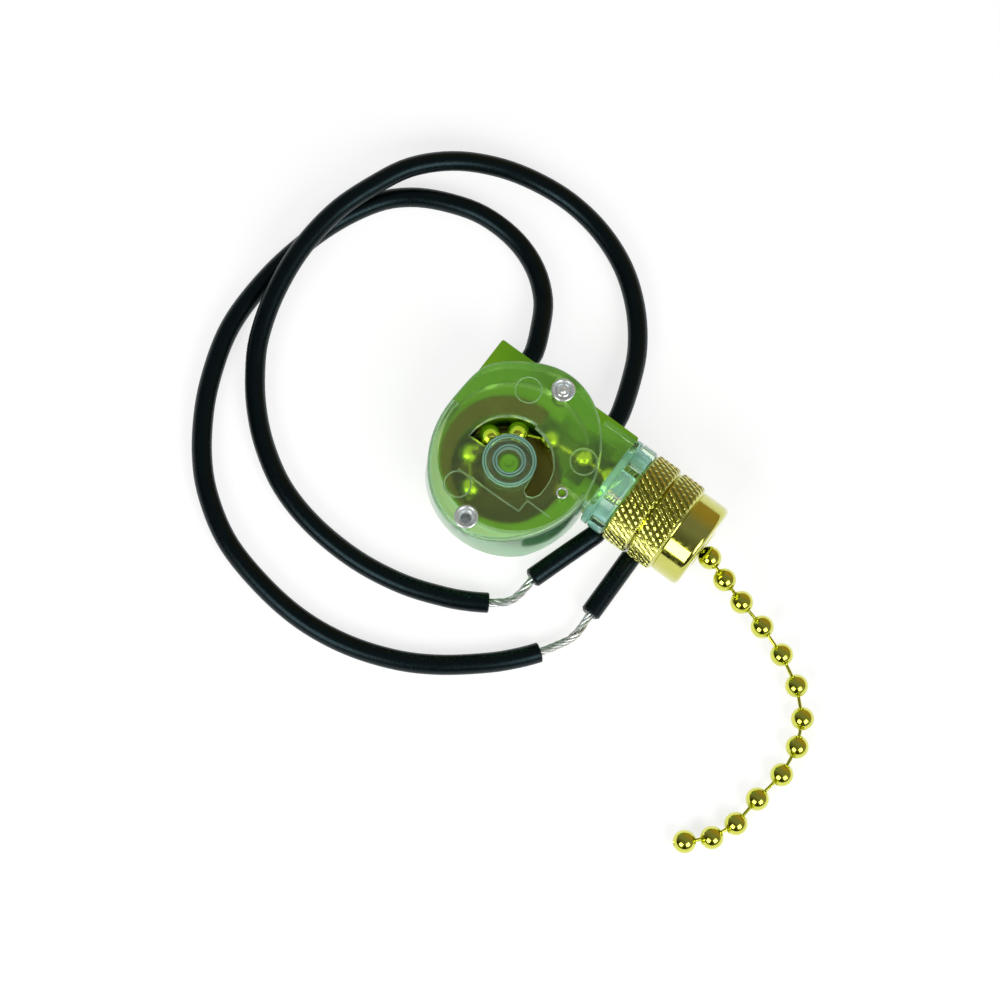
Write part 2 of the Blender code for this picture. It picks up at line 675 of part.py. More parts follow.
def make_return_spring():
    """A torsion spring round the cover's hub: one end in the spool's drum, the other against the peg."""
    low = DRUM_TOP + GAP + SPRING_WIRE / 2
    count = round(SPRING_TURNS * SPRING_POINTS)
    coil = []
    for i in range(count + 1):
        share = i / count
        angle = SPRING_START + share * SPRING_TURNS * 2 * math.pi
        coil.append(PIVOT + polar(SPRING_RADIUS, angle, low + share * SPRING_RISE))
    end_angle = SPRING_START + SPRING_TURNS * 2 * math.pi
    tail_end = coil[-1] + polar(SPRING_TAIL_OUT, end_angle + math.radians(35))
    foot = coil[0] - Vector((0, 0, SPRING_TAIL_DOWN))
    gap = least_gap(coil, SPRING_POINTS // 2 + 1) - SPRING_WIRE
    print(f"return spring: least gap to itself {gap / MM:.2f} mm")
    return tube("return_spring", [foot, *coil, tail_end], SPRING_WIRE / 2, STEEL, sides_level=1)


def least_gap(points, apart):
    """The least distance from a point to the stretches of the line that are at least so many points away."""
    found = math.inf
    for i, point in enumerate(points):
        for j in range(i + apart, len(points) - 1):
            along = points[j + 1] - points[j]
            share = min(1, max(0, (point - points[j]).dot(along) / along.length_squared))
            found = min(found, (point - points[j] - along * share).length)
    return found


def make_contact_rotor():
    rotor = turned(
        "contact_rotor",
        [
            (PIVOT_BORE, ROTOR_TOP),
            (ROTOR_RADIUS, ROTOR_TOP),
            (ROTOR_RADIUS, ROTOR_BOTTOM),
            (PIVOT_BORE, ROTOR_BOTTOM),
        ],
        PIVOT,
        closed=True,
        finish=IVORY_PLASTIC,
    )
    join(rotor, *drive_lugs("rotor_lug", ROTOR_TOP, PLATE_BOTTOM - ROTOR_TOP - GAP, 0))
    bridge = rod(
        "contact_bridge", (0, 0, BRIDGE_BOTTOM), (0, 0, BRIDGE_TOP), BRIDGE_RING, SIDES, PIVOT, COPPER
    )
    tip = TERMINAL_X - CONTACT_PROUD - GAP
    half_tab = BRIDGE_TAB_WIDTH / 2
    join(bridge, box("bridge_tabs", (-tip, -half_tab, BRIDGE_BOTTOM), (tip, half_tab, BRIDGE_TOP), PIVOT))
    below, above = BRIDGE_BOTTOM - PAST, BRIDGE_TOP + PAST
    cut(bridge, rod("bridge_bore", (0, 0, below), (0, 0, above), BRIDGE_BORE, location=PIVOT))
    for side in (-1, 1):
        y = side * PEG_OFFSET
        peg_foot = BRIDGE_BOTTOM - GAP / 2
        join(
            rotor,
            rod(
                f"rotor_peg_{side}",
                (0, y, peg_foot),
                (0, y, ROTOR_BOTTOM + ROTOR_THICKNESS / 2),
                PEG_RADIUS,
                TINY_SIDES,
                PIVOT,
            ),
        )
        hole = PEG_RADIUS + RUN
        cut(bridge, rod(f"peg_hole_{side}", (0, y, below), (0, y, above), hole, TINY_SIDES, PIVOT))
    return rotor, bridge


def make_terminal(side, name):
    """A brass strip from the contact beside the rotor back to the barrel that grips the lead's core."""
    near, far = sorted((side * TERMINAL_X, side * (TERMINAL_X + STRIP_THICKNESS)))
    barrel_end = BARREL_START + BARREL_LENGTH
    terminal = box(
        f"terminal_{name}",
        (near, STRIP_START, STRIP_BOTTOM),
        (far, BARREL_START + BARREL_LENGTH / 2, STRIP_TOP),
        finish=BRASS,
    )
    contact_z = (BRIDGE_BOTTOM + BRIDGE_TOP) / 2
    x = side * LEAD_X
    join(
        terminal,
        rod(f"barrel_{name}", (x, BARREL_START, LEAD_Z), (x, barrel_end, LEAD_Z), BARREL_RADIUS),
        rod(
            f"contact_{name}",
            (side * (TERMINAL_X - CONTACT_PROUD), PIVOT_Y, contact_z),
            (side * (TERMINAL_X + STRIP_THICKNESS / 2), PIVOT_Y, contact_z),
            CONTACT_RADIUS,
            TINY_SIDES,
        ),
    )
    cut(
        terminal,
        rod(
            f"barrel_bore_{name}",
            (x, BARREL_START - PAST, LEAD_Z),
            (x, barrel_end + PAST, LEAD_Z),
            BARREL_BORE,
        ),
    )


def make_neck():
    """The threaded nipple held by the collar, and the two knurled nuts on it, turned about the neck."""
    turned(
        "threaded_nipple",
        [
            (NECK_BORE, THREAD_END),
            (THREAD_RADIUS, THREAD_END),
            (THREAD_RADIUS, FLANGE_END),
            (FLANGE_RADIUS, FLANGE_END),
            (FLANGE_RADIUS, FLANGE_END - FLANGE_LENGTH),
            (NECK_BORE, FLANGE_END - FLANGE_LENGTH),
        ],
        NECK,
        (1, 0, 0),
        closed=True,
        finish=BRASS,
    )
    bore = THREAD_RADIUS + RUN
    locknut = turned(
        "locknut",
        [(bore, LOCKNUT_END), *chamfered(LOCKNUT_RADIUS, LOCKNUT_START, LOCKNUT_END), (bore, LOCKNUT_START)],
        NECK,
        (1, 0, 0),
        closed=True,
        finish=BRASS,
    )
    nose = rounded((NOSE_RADIUS - NOSE_ROUND, NOSE_END - NOSE_ROUND), NOSE_ROUND, 90, 0)
    cap_nut = turned(
        "cap_nut",
        [
            (MOUTH_RADIUS + MOUTH_FLARE, NOSE_END),
            *nose,
            (NOSE_RADIUS, CAP_SHOULDER),
            *chamfered(CAP_RADIUS, CAP_START, CAP_SHOULDER),
            (bore, CAP_START),
            (bore, MOUTH_START),
            (MOUTH_RADIUS, MOUTH_START),
            (MOUTH_RADIUS, NOSE_END - MOUTH_FLARE),
        ],
        NECK,
        (1, 0, 0),
        closed=True,
        finish=BRASS,
    )
    return locknut, cap_nut


def chamfered(radius, start, end):
    """The outside of a nut between two faces, with its corners taken off."""
    inner = radius - NUT_EDGE
    return [(inner, end), (radius, end - NUT_EDGE), (radius, start + NUT_EDGE), (inner, start)]


def make_bead(name, centre, inner_neighbour):
    """A chain bead with the link pin that runs to the next bead inwards. The anchored bead has no pin."""
    if inner_neighbour is None:
        towards = Vector((0, 0, -1))
        ball = rounded((0, 0), BEAD_RADIUS, BEAD_CROWN, -BEAD_CROWN, 5)
        outline = [(0, BEAD_RADIUS), *ball, (0, -BEAD_RADIUS)]
    else:
        towards = inner_neighbour - centre
        pin_end = towards.length - BEAD_RADIUS - GAP
        pin_root = math.degrees(math.acos(LINK_RADIUS / BEAD_RADIUS))
        ball = rounded((0, 0), BEAD_RADIUS, BEAD_CROWN, -pin_root, 5)
        outline = [(0, BEAD_RADIUS), *ball, (LINK_RADIUS, -pin_end), (0, -pin_end)]
    return turned(name, outline, centre, -towards, TINY_SIDES, finish=GOLD)


def make_chain(spool_axis, chain_axis):
    """Beads from the anchored end on the spool, through the neck, to the free end on the table."""
    wrap = [PIVOT + polar(PITCH_RADIUS, math.radians(a), NECK_Z) for a in WRAP_ANGLES]
    inner = [NECK + Vector((x, y, 0)) * MM for x, y in INNER_BEADS]
    run = [inner[-1] + Vector((CHAIN_PITCH * (i + 1), 0, 0)) for i in range(RUN_BEADS)]
    free = []
    for along, across, share in FREE_BEADS:
        place = run[-1] + Vector((along, across, 0)) * CHAIN_PITCH
        place.z = BEAD_RADIUS + share * (NECK_Z - BEAD_RADIUS)
        free.append(place)
    groups = (("wrap_bead", wrap), ("neck_bead", inner + run), ("free_bead", free))
    before = None
    for group, centres in groups:
        for i, centre in enumerate(centres):
            bead = make_bead(f"{group}_{i + 1:02d}", centre, before)
            parent_to(spool_axis if group == "wrap_bead" else chain_axis, bead)
            before = centre


def make_lead(side, name, route, strands, slug):
    """One lead: core in its terminal, insulation to its far end, bare strands and a loose slug."""
    x = side * LEAD_X
    core_start = BARREL_START + GAP
    rod(
        f"lead_{name}_core",
        (x, core_start, LEAD_Z),
        (x, LEAD_START - GAP, LEAD_Z),
        CORE_RADIUS,
        TINY_SIDES,
        finish=TINNED,
    )
    inside = [Vector((x, LEAD_START, LEAD_Z)), Vector((x, BLOCK_BACK, LEAD_Z))]
    path = inside + smooth_path([inside[1], *in_metres(route)], LEAD_POINT_SPACING)[1:]
    tube(f"lead_{name}_insulation", path, LEAD_RADIUS, BLACK_PVC)
    tube(f"lead_{name}_strands", smooth_path(in_metres(strands), CORE_RADIUS * 4), CORE_RADIUS, TINNED)
    start, end = in_metres(slug)
    rod(f"lead_{name}_slug", start, end, LEAD_RADIUS, TINY_SIDES, finish=BLACK_PVC)


clear_scene()
PARTS = new_collection("Pull_chain_switch")
CUTTERS = new_collection("Cutters")

GREEN_PLASTIC = material("green_plastic", (0.35, 0.55, 0.04), 0.45)
CLEAR_PLASTIC = material("clear_plastic", (0.62, 0.80, 0.68), 0.15)
BROWN_PLASTIC = material("brown_plastic", (0.16, 0.08, 0.02), 0.5)
IVORY_PLASTIC = material("ivory_plastic", (0.75, 0.70, 0.55), 0.5)
STEEL = material("plated_steel", (0.70, 0.74, 0.74), 0.25, 1.0)
BRASS = material("brass", (0.72, 0.52, 0.12), 0.28, 1.0)
COPPER = material("spring_copper", (0.75, 0.42, 0.25), 0.35, 1.0)
GOLD = material("gold_plate", (0.80, 0.68, 0.10), 0.2, 1.0)
BLACK_PVC = material("black_pvc", (0.012, 0.014, 0.014), 0.5)
TINNED = material("tinned_copper", (0.72, 0.74, 0.72), 0.35, 1.0)

make_base()
make_cover()
make_rivets()
make_terminal(-1, "left")
make_terminal(1, "right")
make_return_spring()

SPOOL_AXIS = axis_empty("spool_axis", PIVOT)
ROTOR_AXIS = axis_empty("rotor_axis", PIVOT)
CHAIN_AXIS = axis_empty("chain_axis", NECK)
parent_to(SPOOL_AXIS, make_spool())
parent_to(ROTOR_AXIS, *make_contact_rotor())
make_neck()
make_chain(SPOOL_AXIS, CHAIN_AXIS)
make_lead(-1, "left", LEFT_ROUTE, LEFT_STRANDS, LEFT_SLUG)
make_lead(1, "right", RIGHT_ROUTE, RIGHT_STRANDS, RIGHT_SLUG)
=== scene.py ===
"""Looks of the pull-chain switch: camera, light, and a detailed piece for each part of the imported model.

Lengths are in millimetres in the model's frame, and are scaled to metres when a mesh is made.
+X runs out along the threaded neck, +Y points to the side where the leads come out, and +Z is up.
"""

import math

import bmesh
import bpy
from mathutils import Matrix, Vector


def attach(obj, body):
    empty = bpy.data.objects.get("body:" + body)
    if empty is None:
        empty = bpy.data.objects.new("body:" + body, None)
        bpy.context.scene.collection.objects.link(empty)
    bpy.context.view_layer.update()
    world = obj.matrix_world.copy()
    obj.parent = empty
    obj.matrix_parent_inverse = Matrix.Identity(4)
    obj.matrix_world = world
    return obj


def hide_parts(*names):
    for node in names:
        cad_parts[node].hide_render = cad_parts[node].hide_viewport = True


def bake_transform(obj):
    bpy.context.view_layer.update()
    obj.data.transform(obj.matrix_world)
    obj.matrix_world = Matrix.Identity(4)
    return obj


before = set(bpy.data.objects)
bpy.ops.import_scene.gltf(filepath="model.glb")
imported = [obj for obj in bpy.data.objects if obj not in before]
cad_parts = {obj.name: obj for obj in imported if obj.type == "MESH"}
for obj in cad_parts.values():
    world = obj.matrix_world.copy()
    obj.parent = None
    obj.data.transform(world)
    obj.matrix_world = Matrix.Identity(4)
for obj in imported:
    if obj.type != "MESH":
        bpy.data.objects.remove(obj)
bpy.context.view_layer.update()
MM = 0.001

# Sizes and places of the parts
PIVOT = Vector((0, -1.3, 0))
COVER_TOP = 13.1
COVER_ROUND = 0.6
COVER_FOOT = 11.65  # radius that the cover is drawn in to at its foot
HOLLOW_RADIUS = 10.35
SKIRT_BOTTOM = 1.5
RIVET_Y = 11.0
BLOCK_LEFT, BLOCK_RIGHT = -11.35, 11.7
BLOCK_FRONT, BLOCK_BACK = 2.0, 13.1
BLOCK_TOP = 8.5
BASE_FLOOR = 1.5
NECK = Vector((0, 6.3, 6.85))
COLLAR_START, COLLAR_END = 11.75, 15.2
LOCKNUT_START, LOCKNUT_END = 15.25, 19.25
CAP_START, CAP_SHOULDER, NOSE_END = 19.3, 23.3, 27.6
LOCKNUT_RADIUS, CAP_RADIUS, NOSE_RADIUS = 6.8, 6.72, 6.28
THREAD_RADIUS = 4.75
NUT_BORE = 4.95
BEAD_RADIUS = 1.6
PITCH_RADIUS = 5.5
CHAIN_PITCH = 4.33
PIN = Vector((8.25, -0.6, 0))
LEAD_X, LEAD_Z = 7.4, 3.4
LEAD_START = 9.9
LEAD_DIAMETER = 2.8

# Bead centres. On the spool: degrees about its axis. In the neck: x, and y off its axis.
# Free: x and y from the last bead in the neck, in pitches, and the share of the neck's height that is left.
WRAP_ANGLES = (242, 190.6, 150.4)
NECK_BEADS = ((-2.0, -2.2), (2.2, -0.4), (7.4, 0.0), (11.73, 0.0), (16.06, 0.0), (20.39, 0.0), (24.72, 0.0))
FREE_BEADS = (
    (1.00, -0.09, 0.91), (1.77, -0.32, 0.70), (2.61, -0.51, 0.46), (3.58, -0.68, 0.19), (4.59, -0.99, 0.03),
    (5.54, -1.51, 0), (6.29, -2.25, 0), (6.67, -3.08, 0), (6.79, -4.09, 0), (6.62, -5.17, 0),
    (6.53, -6.20, 0), (6.18, -7.01, 0), (5.57, -7.62, 0),
)

# Routes of the leads from the block's back: insulation, bare strands and slug.
# A point without a height lies on the table.
LEFT_ROUTE = (
    (-7.4, 15.4, 3.3), (-8.8, 18.9, 2.8), (-11.1, 22.9, 2.0), (-14.9, 26.1, 1.5), (-19.7, 27.8),
    (-25.3, 27.9), (-30.5, 26.3), (-34.9, 23.8), (-38.3, 20.1), (-41.3, 13.7), (-43.2, 5.8), (-43.7, -1.5),
    (-43.2, -7.2), (-41.4, -12.9), (-38.9, -18.1), (-35.2, -23.4), (-31.0, -27.4), (-25.0, -30.9),
    (-17.7, -32.8), (-10.6, -33.4), (-3.7, -32.5), (2.9, -30.2), (8.2, -27.1), (13.4, -22.8), (16.4, -19.6),
    (18.0, -17.5),
)
RIGHT_ROUTE = (
    (7.3, 15.4, 3.3), (5.8, 20.1, 2.8), (3.6, 25.0, 2.0), (0.0, 29.7, 1.5), (-4.7, 33.5), (-10.2, 35.9),
    (-16.1, 36.9), (-21.8, 36.4, 1.8), (-27.4, 34.6, 2.6), (-32.7, 31.3, 3.6), (-36.9, 26.6, 4.4),
    (-39.4, 21.1, 4.7), (-41.3, 14.8, 4.7), (-41.8, 7.5, 4.5), (-40.9, 0.5, 3.8), (-39.0, -5.5, 2.8),
    (-36.6, -9.6, 2.0), (-33.3, -13.6, 1.6), (-29.1, -17.2), (-23.6, -20.3), (-17.0, -22.0), (-9.5, -22.3),
    (-2.6, -21.2), (3.0, -19.2), (6.2, -17.6), (8.4, -16.2),
)
LEFT_STRANDS = ((17.4, -18.3), (18.4, -16.9), (20.2, -13.6), (20.5, -11.2), (20.3, -8.4))
LEFT_SLUG = ((20.32, -9.2), (20.15, 0.9))
RIGHT_STRANDS = ((7.8, -16.6), (8.8, -15.9), (10.5, -14.3), (11.1, -12.2), (11.2, -9.4))
RIGHT_SLUG = ((11.05, -10.0), (12.7, -4.8), (14.0, -0.8), (14.35, 0.3), (14.4, 0.95))

# Camera, floor and light
CAMERA_AZIMUTH, CAMERA_ELEVATION, CAMERA_ROLL = 23, 76, 13.815  # degrees
CAMERA_TARGET = Vector((0.93, -3.37, 0))
CAMERA_DISTANCE = 449.16
CAMERA_LENS = 117.45
LIGHT_TARGET = Vector((15, 0, 5))
LIGHT_DISTANCE = 600
LIGHT_SIZE = 330
LIGHT_POWER = 1.75
LEFT_LIGHT = (-0.079, -0.824, 0.561)
RIGHT_LIGHT = (0.756, -0.208, 0.621)
ROOM_LIGHT = 0.24
ROOM_DARK = 0.03  # near the horizon on the side of the left softbox
ROOM_FADE = 0.6  # how far toward it the room gets dark
WARM_SIDE = (0, 1, 0)
WARM_FROM, WARM_TO = 0.4, 0.85  # how far toward it the wall turns warm
WARM_WALL = (1.7, 1.15, 0.4)
FLOOR_SIZE = 3000
FLOOR_COLOUR = (0.42, 0.42, 0.42)
FLOOR_GLOW = (0.75, 0.75, 0.75)


def link_object(name, data):
    made = bpy.data.objects.new(name, data)
    bpy.context.scene.collection.objects.link(made)
    return made


def make_camera():
    camera = bpy.data.cameras.new("Camera")
    camera.lens = CAMERA_LENS
    made = link_object("Camera", camera)
    turn = (
        Matrix.Rotation(math.radians(CAMERA_AZIMUTH), 4, "Z")
        @ Matrix.Rotation(math.radians(90 - CAMERA_ELEVATION), 4, "X")
        @ Matrix.Rotation(math.radians(CAMERA_ROLL), 4, "Z")
    )
    away = Matrix.Translation((0, 0, CAMERA_DISTANCE * MM))
    made.matrix_world = Matrix.Translation(CAMERA_TARGET * MM) @ turn @ away
    bpy.context.scene.camera = made


def make_softbox(name, direction):
    lamp = bpy.data.lights.new(name, "AREA")
    lamp.size = LIGHT_SIZE * MM
    lamp.energy = LIGHT_POWER
    made = link_object(name, lamp)
    away = Vector(direction).normalized()
    made.location = (LIGHT_TARGET + away * LIGHT_DISTANCE) * MM
    made.rotation_euler = away.to_track_quat("Z", "Y").to_euler()


def for_rays(tree, *kinds):
    """A socket that is 1 for the named kinds of ray, and 0 for the rest."""
    path = tree.nodes.new("ShaderNodeLightPath")
    total, *others = (path.outputs[f"Is {kind} Ray"] for kind in kinds)
    for other in others:
        either = tree.nodes.new("ShaderNodeMath")
        either.operation = "MAXIMUM"
        tree.links.new(total, either.inputs[0])
        tree.links.new(other, either.inputs[1])
        total = either.outputs[0]
    return total


def mix_by_ray(tree, plain, other, kinds, output):
    """Show one shader, but another one to the named kinds of ray."""
    mix = tree.nodes.new("ShaderNodeMixShader")
    tree.links.new(for_rays(tree, *kinds), mix.inputs["Fac"])
    tree.links.new(plain.outputs[0], mix.inputs[1])
    tree.links.new(other.outputs[0], mix.inputs[2])
    tree.links.new(mix.outputs[0], tree.nodes[output].inputs["Surface"])


def make_floor():
    """A pale floor, lifted to white where it is seen, with the shadow left on it."""
    bm = bmesh.new()
    bmesh.ops.create_grid(bm, x_segments=1, y_segments=1, size=FLOOR_SIZE)
    finish = material("floor", FLOOR_COLOUR, 0.9, specular_ior_level=0.0, emission_color=(*FLOOR_GLOW, 1))
    seen = for_rays(finish.node_tree, "Camera", "Glossy", "Transmission")
    drive(finish, "Emission Strength", seen)
    piece("floor", bm, finish)


def facing(tree, side):
    """A socket with the share of a world ray's direction that points to one side."""
    place = tree.nodes.new("ShaderNodeTexCoord")
    toward = tree.nodes.new("ShaderNodeVectorMath")
    toward.operation = "DOT_PRODUCT"
    toward.inputs[1].default_value = side
    tree.links.new(place.outputs["Generated"], toward.inputs[0])
    return toward.outputs["Value"]


def wall_colour(tree):
    """A colour socket for the walls: plain, but warm on one side for rays that mirror it."""
    colour = tree.nodes.new("ShaderNodeValToRGB")
    plain, warm = colour.color_ramp.elements
    plain.position, plain.color = WARM_FROM, (1, 1, 1, 1)
    warm.position, warm.color = WARM_TO, (*WARM_WALL, 1)
    mirrored = tree.nodes.new("ShaderNodeMath")
    mirrored.operation = "MULTIPLY"
    tree.links.new(facing(tree, WARM_SIDE), mirrored.inputs[0])
    tree.links.new(for_rays(tree, "Glossy"), mirrored.inputs[1])
    tree.links.new(mirrored.outputs[0], colour.inputs["Fac"])
    return colour.outputs["Color"]


def make_room():
    """Dim studio walls for light and reflections, and white where the camera sees past the floor."""
    world = bpy.data.worlds.new("room")
    bpy.context.scene.world = world
    world.use_nodes = True
    tree = world.node_tree
    walls, white = tree.nodes["Background"], tree.nodes.new("ShaderNodeBackground")
    white.inputs["Color"].default_value = (1, 1, 1, 1)
    fade = tree.nodes.new("ShaderNodeMapRange")
    fade.inputs["From Max"].default_value = ROOM_FADE
    fade.inputs["To Min"].default_value = ROOM_LIGHT
    fade.inputs["To Max"].default_value = ROOM_DARK
    tree.links.new(facing(tree, (LEFT_LIGHT[0], LEFT_LIGHT[1], 0)), fade.inputs["Value"])
    tree.links.new(fade.outputs[0], walls.inputs["Strength"])
    tree.links.new(wall_colour(tree), walls.inputs["Color"])
    mix_by_ray(tree, walls, white, ("Camera", "Transmission"), "World Output")


# Materials
NOISE_LOW, NOISE_HIGH = 0.3, 0.7  # nearly all of a noise texture lies between these
MOULD_DRIFT, METAL_DRIFT = 3.0, 1.5  # size of the slow changes of colour
MOULD_SPREAD, METAL_SPREAD = (-0.06, 0.08), (-0.05, 0.07)  # added to a roughness
METAL_SPOTS = 0.6
TOOL_LINES = 0.08
CLEAR_IOR = 1.49
CLEAR_SPREAD = (0.8, 1.2)  # shares of a roughness
CLEAR_SPOTS, CLEAR_WAVES, CLEAR_BUMP = 0.5, 0.9, 0.0015
LIT_THROUGH = (0.90, 0.97, 0.82)  # colour of the light that clear pieces let through


def material(name, colour, roughness, metallic=0.0, **sockets):
    """A Principled material. Sockets are named in lower case with _ for each space."""
    made = bpy.data.materials.new(name)
    made.use_nodes = True
    inputs = made.node_tree.nodes["Principled BSDF"].inputs
    inputs["Base Color"].default_value = (*colour, 1)
    inputs["Roughness"].default_value = roughness
    inputs["Metallic"].default_value = metallic
    by_name = {socket.name.lower().replace(" ", "_"): socket for socket in inputs}
    for socket, value in sockets.items():
        by_name[socket].default_value = value
    return made


def noise(made, grain, detail=3.0, stretch=(1, 1, 1)):
    """Noise fixed to the piece, with spots of about so many millimetres, as a socket from 0 to 1."""
    tree = made.node_tree
    place = tree.nodes.new("ShaderNodeTexCoord")
    mapping = tree.nodes.new("ShaderNodeMapping")
    mapping.inputs["Scale"].default_value = stretch
    texture = tree.nodes.new("ShaderNodeTexNoise")
    texture.inputs["Scale"].default_value = 1 / (grain * MM)
    texture.inputs["Detail"].default_value = detail
    tree.links.new(place.outputs["Object"], mapping.inputs["Vector"])
    tree.links.new(mapping.outputs["Vector"], texture.inputs["Vector"])
    return texture.outputs["Fac"]


def drive(made, socket, source):
    tree = made.node_tree
    tree.links.new(source, tree.nodes["Principled BSDF"].inputs[socket])


def vary_roughness(made, source, low, high):
    tree = made.node_tree
    spread = tree.nodes.new("ShaderNodeMapRange")
    spread.inputs["From Min"].default_value = NOISE_LOW
    spread.inputs["From Max"].default_value = NOISE_HIGH
    spread.inputs["To Min"].default_value = low
    spread.inputs["To Max"].default_value = high
    tree.links.new(source, spread.inputs["Value"])
    drive(made, "Roughness", spread.outputs[0])


def vary_colour(made, source, low, high):
    tree = made.node_tree
    ramp = tree.nodes.new("ShaderNodeValToRGB")
    first, last = ramp.color_ramp.elements
    first.position, first.color = NOISE_LOW, (*low, 1)
    last.position, last.color = NOISE_HIGH, (*high, 1)
    tree.links.new(source, ramp.inputs["Fac"])
    drive(made, "Base Color", ramp.outputs["Color"])


def emboss(made, source, height):
    """Bump of so many millimetres."""
    tree = made.node_tree
    bump = tree.nodes.new("ShaderNodeBump")
    bump.inputs["Distance"].default_value = height * MM
    tree.links.new(source, bump.inputs["Height"])
    drive(made, "Normal", bump.outputs["Normal"])


def moulded(name, low, high, roughness, grain=0.25, height=0.006, **sockets):
    """Moulded plastic: slow drifts of colour, and a fine texture from the mould."""
    made = material(name, low, roughness, **sockets)
    vary_colour(made, noise(made, MOULD_DRIFT), low, high)
    fine = noise(made, grain)
    vary_roughness(made, fine, *(roughness + step for step in MOULD_SPREAD))
    emboss(made, fine, height)
    return made


def turned_metal(name, low, high, roughness, stretch, height=0.003, metallic=1.0, **sockets):
    """Metal with fine tool lines, which stretch lays across the axis it was turned on."""
    made = material(name, low, roughness, metallic, **sockets)
    vary_colour(made, noise(made, METAL_DRIFT), low, high)
    lines = noise(made, TOOL_LINES, detail=2.0, stretch=stretch)
    vary_roughness(made, noise(made, METAL_SPOTS), *(roughness + step for step in METAL_SPREAD))
    emboss(made, lines, height)
    return made


def clear_plastic(name, colour, roughness, clear, **sockets):
    """Clear moulding, a little hazy, that lets the lamps' light through to what is under it."""
    made = material(name, colour, roughness, ior=CLEAR_IOR, transmission_weight=clear, **sockets)
    vary_roughness(made, noise(made, CLEAR_SPOTS), *(roughness * share for share in CLEAR_SPREAD))
    emboss(made, noise(made, CLEAR_WAVES), CLEAR_BUMP)
    tree = made.node_tree
    through = tree.nodes.new("ShaderNodeBsdfTransparent")
    through.inputs["Color"].default_value = (*LIT_THROUGH, 1)
    shader = tree.nodes["Principled BSDF"]
    mix_by_ray(tree, shader, through, ("Shadow", "Diffuse"), "Material Output")
    return made


# Mesh helpers
WELD = 1e-4  # points of a turned shape this close are one point
CARVE_WELD = 0.004
CARVE_FLAT = 0.4  # degrees between faces of a carved shape that are one face
CURVE_STEPS = 12


def piece(name, bm, finish, smooth=35.0, bevel=0.0):
    """An object from a bmesh in millimetres. A bevel rounds its sharp edges."""
    mesh = bpy.data.meshes.new(name)
    bm.to_mesh(mesh)
    bm.free()
    mesh.transform(Matrix.Scale(MM, 4))
    mesh.shade_smooth()
    mesh.set_sharp_from_angle(angle=math.radians(smooth))
    mesh.materials.append(finish)
    made = link_object(name, mesh)
    if bevel:
        edge = made.modifiers.new("Edges", "BEVEL")
        edge.width = bevel * MM
        edge.segments = 2
        edge.limit_method = "ANGLE"
        edge.angle_limit = math.radians(smooth)
        edge.harden_normals = True
    return made


def fit(made, body, slot, *nodes):
    """Hang a piece on a body in place of CAD nodes. The slot of the record is not used."""
    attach(made, body)
    if nodes:
        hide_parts(*nodes)
    return made


def skin(bm, rings, closed=False):
    """Faces between rings of equally many points, with the first and last ring filled unless closed."""
    loops = [[bm.verts.new(point) for point in ring] for ring in rings]
    count = len(loops[0])
    for first, second in zip(loops, loops[1:] + (loops[:1] if closed else [])):
        for i in range(count):
            j = (i + 1) % count
            bm.faces.new((first[i], first[j], second[j], second[i]))
    if not closed:
        bm.faces.new(loops[0][::-1])
        bm.faces.new(loops[-1])


def outward(bm):
    bmesh.ops.recalc_face_normals(bm, faces=bm.faces)
    return bm


def placed(bm, degrees, axis="Z", at=PIVOT):
    """Turn a shape about the origin, then move it to its place."""
    bmesh.ops.rotate(bm, matrix=Matrix.Rotation(math.radians(degrees), 3, axis), verts=bm.verts)
    bmesh.ops.translate(bm, vec=at, verts=bm.verts)
    return bm


def turned(profile, at=(0, 0, 0), along=(0, 0, 1), sides=64, closed=False):
    """A profile of (radius, height) points turned about an axis through a point."""
    turn = Vector((0, 0, 1)).rotation_difference(Vector(along)).to_matrix()
    angles = [math.tau * i / sides for i in range(sides)]
    rings = []
    for radius, height in profile:
        ring = (Vector((radius * math.cos(a), radius * math.sin(a), height)) for a in angles)
        rings.append([turn @ point + Vector(at) for point in ring])
    bm = bmesh.new()
    skin(bm, rings, closed)
    bmesh.ops.remove_doubles(bm, verts=bm.verts, dist=WELD)
    return outward(bm)


def arc(centre, radius, start, end, steps):
    """Points of an arc from one angle to another, in degrees."""
    angles = [math.radians(start + (end - start) * i / steps) for i in range(steps + 1)]
    return [(centre[0] + radius * math.cos(a), centre[1] + radius * math.sin(a)) for a in angles]


def eased(corners, steps=5):
    """A closed outline of (x, y, rounding) corners, with an arc at each corner that has a rounding."""
    outline = []
    for i, (x, y, rounding) in enumerate(corners):
        here = Vector((x, y))
        back = (Vector(corners[i - 1][:2]) - here).normalized()
        on = (Vector(corners[(i + 1) % len(corners)][:2]) - here).normalized()
        if not rounding:
            outline.append((x, y))
            continue
        half = back.angle(on) / 2
        centre = here + (back + on).normalized() * (rounding / math.sin(half))
        first = here + back * (rounding / math.tan(half)) - centre
        last = here + on * (rounding / math.tan(half)) - centre
        start = math.degrees(math.atan2(first.y, first.x))
        sweep = (math.degrees(math.atan2(last.y, last.x)) - start + 180) % 360 - 180
        outline += arc(centre, rounding, start, start + sweep, steps)
    return outline


def prism(outline, bottom, top, at=(0, 0, 0)):
    """A flat outline made solid between two heights."""
    bm = bmesh.new()
    skin(bm, [[Vector((x, y, z)) + Vector(at) for x, y in outline] for z in (bottom, top)])
    return outward(bm)


def block(low, high, rounding=0.0):
    """A box between two corners, with its upright edges rounded."""
    corners = ((low[0], low[1]), (high[0], low[1]), (high[0], high[1]), (low[0], high[1]))
    return prism(eased([(*corner, rounding) for corner in corners]), low[2], high[2])


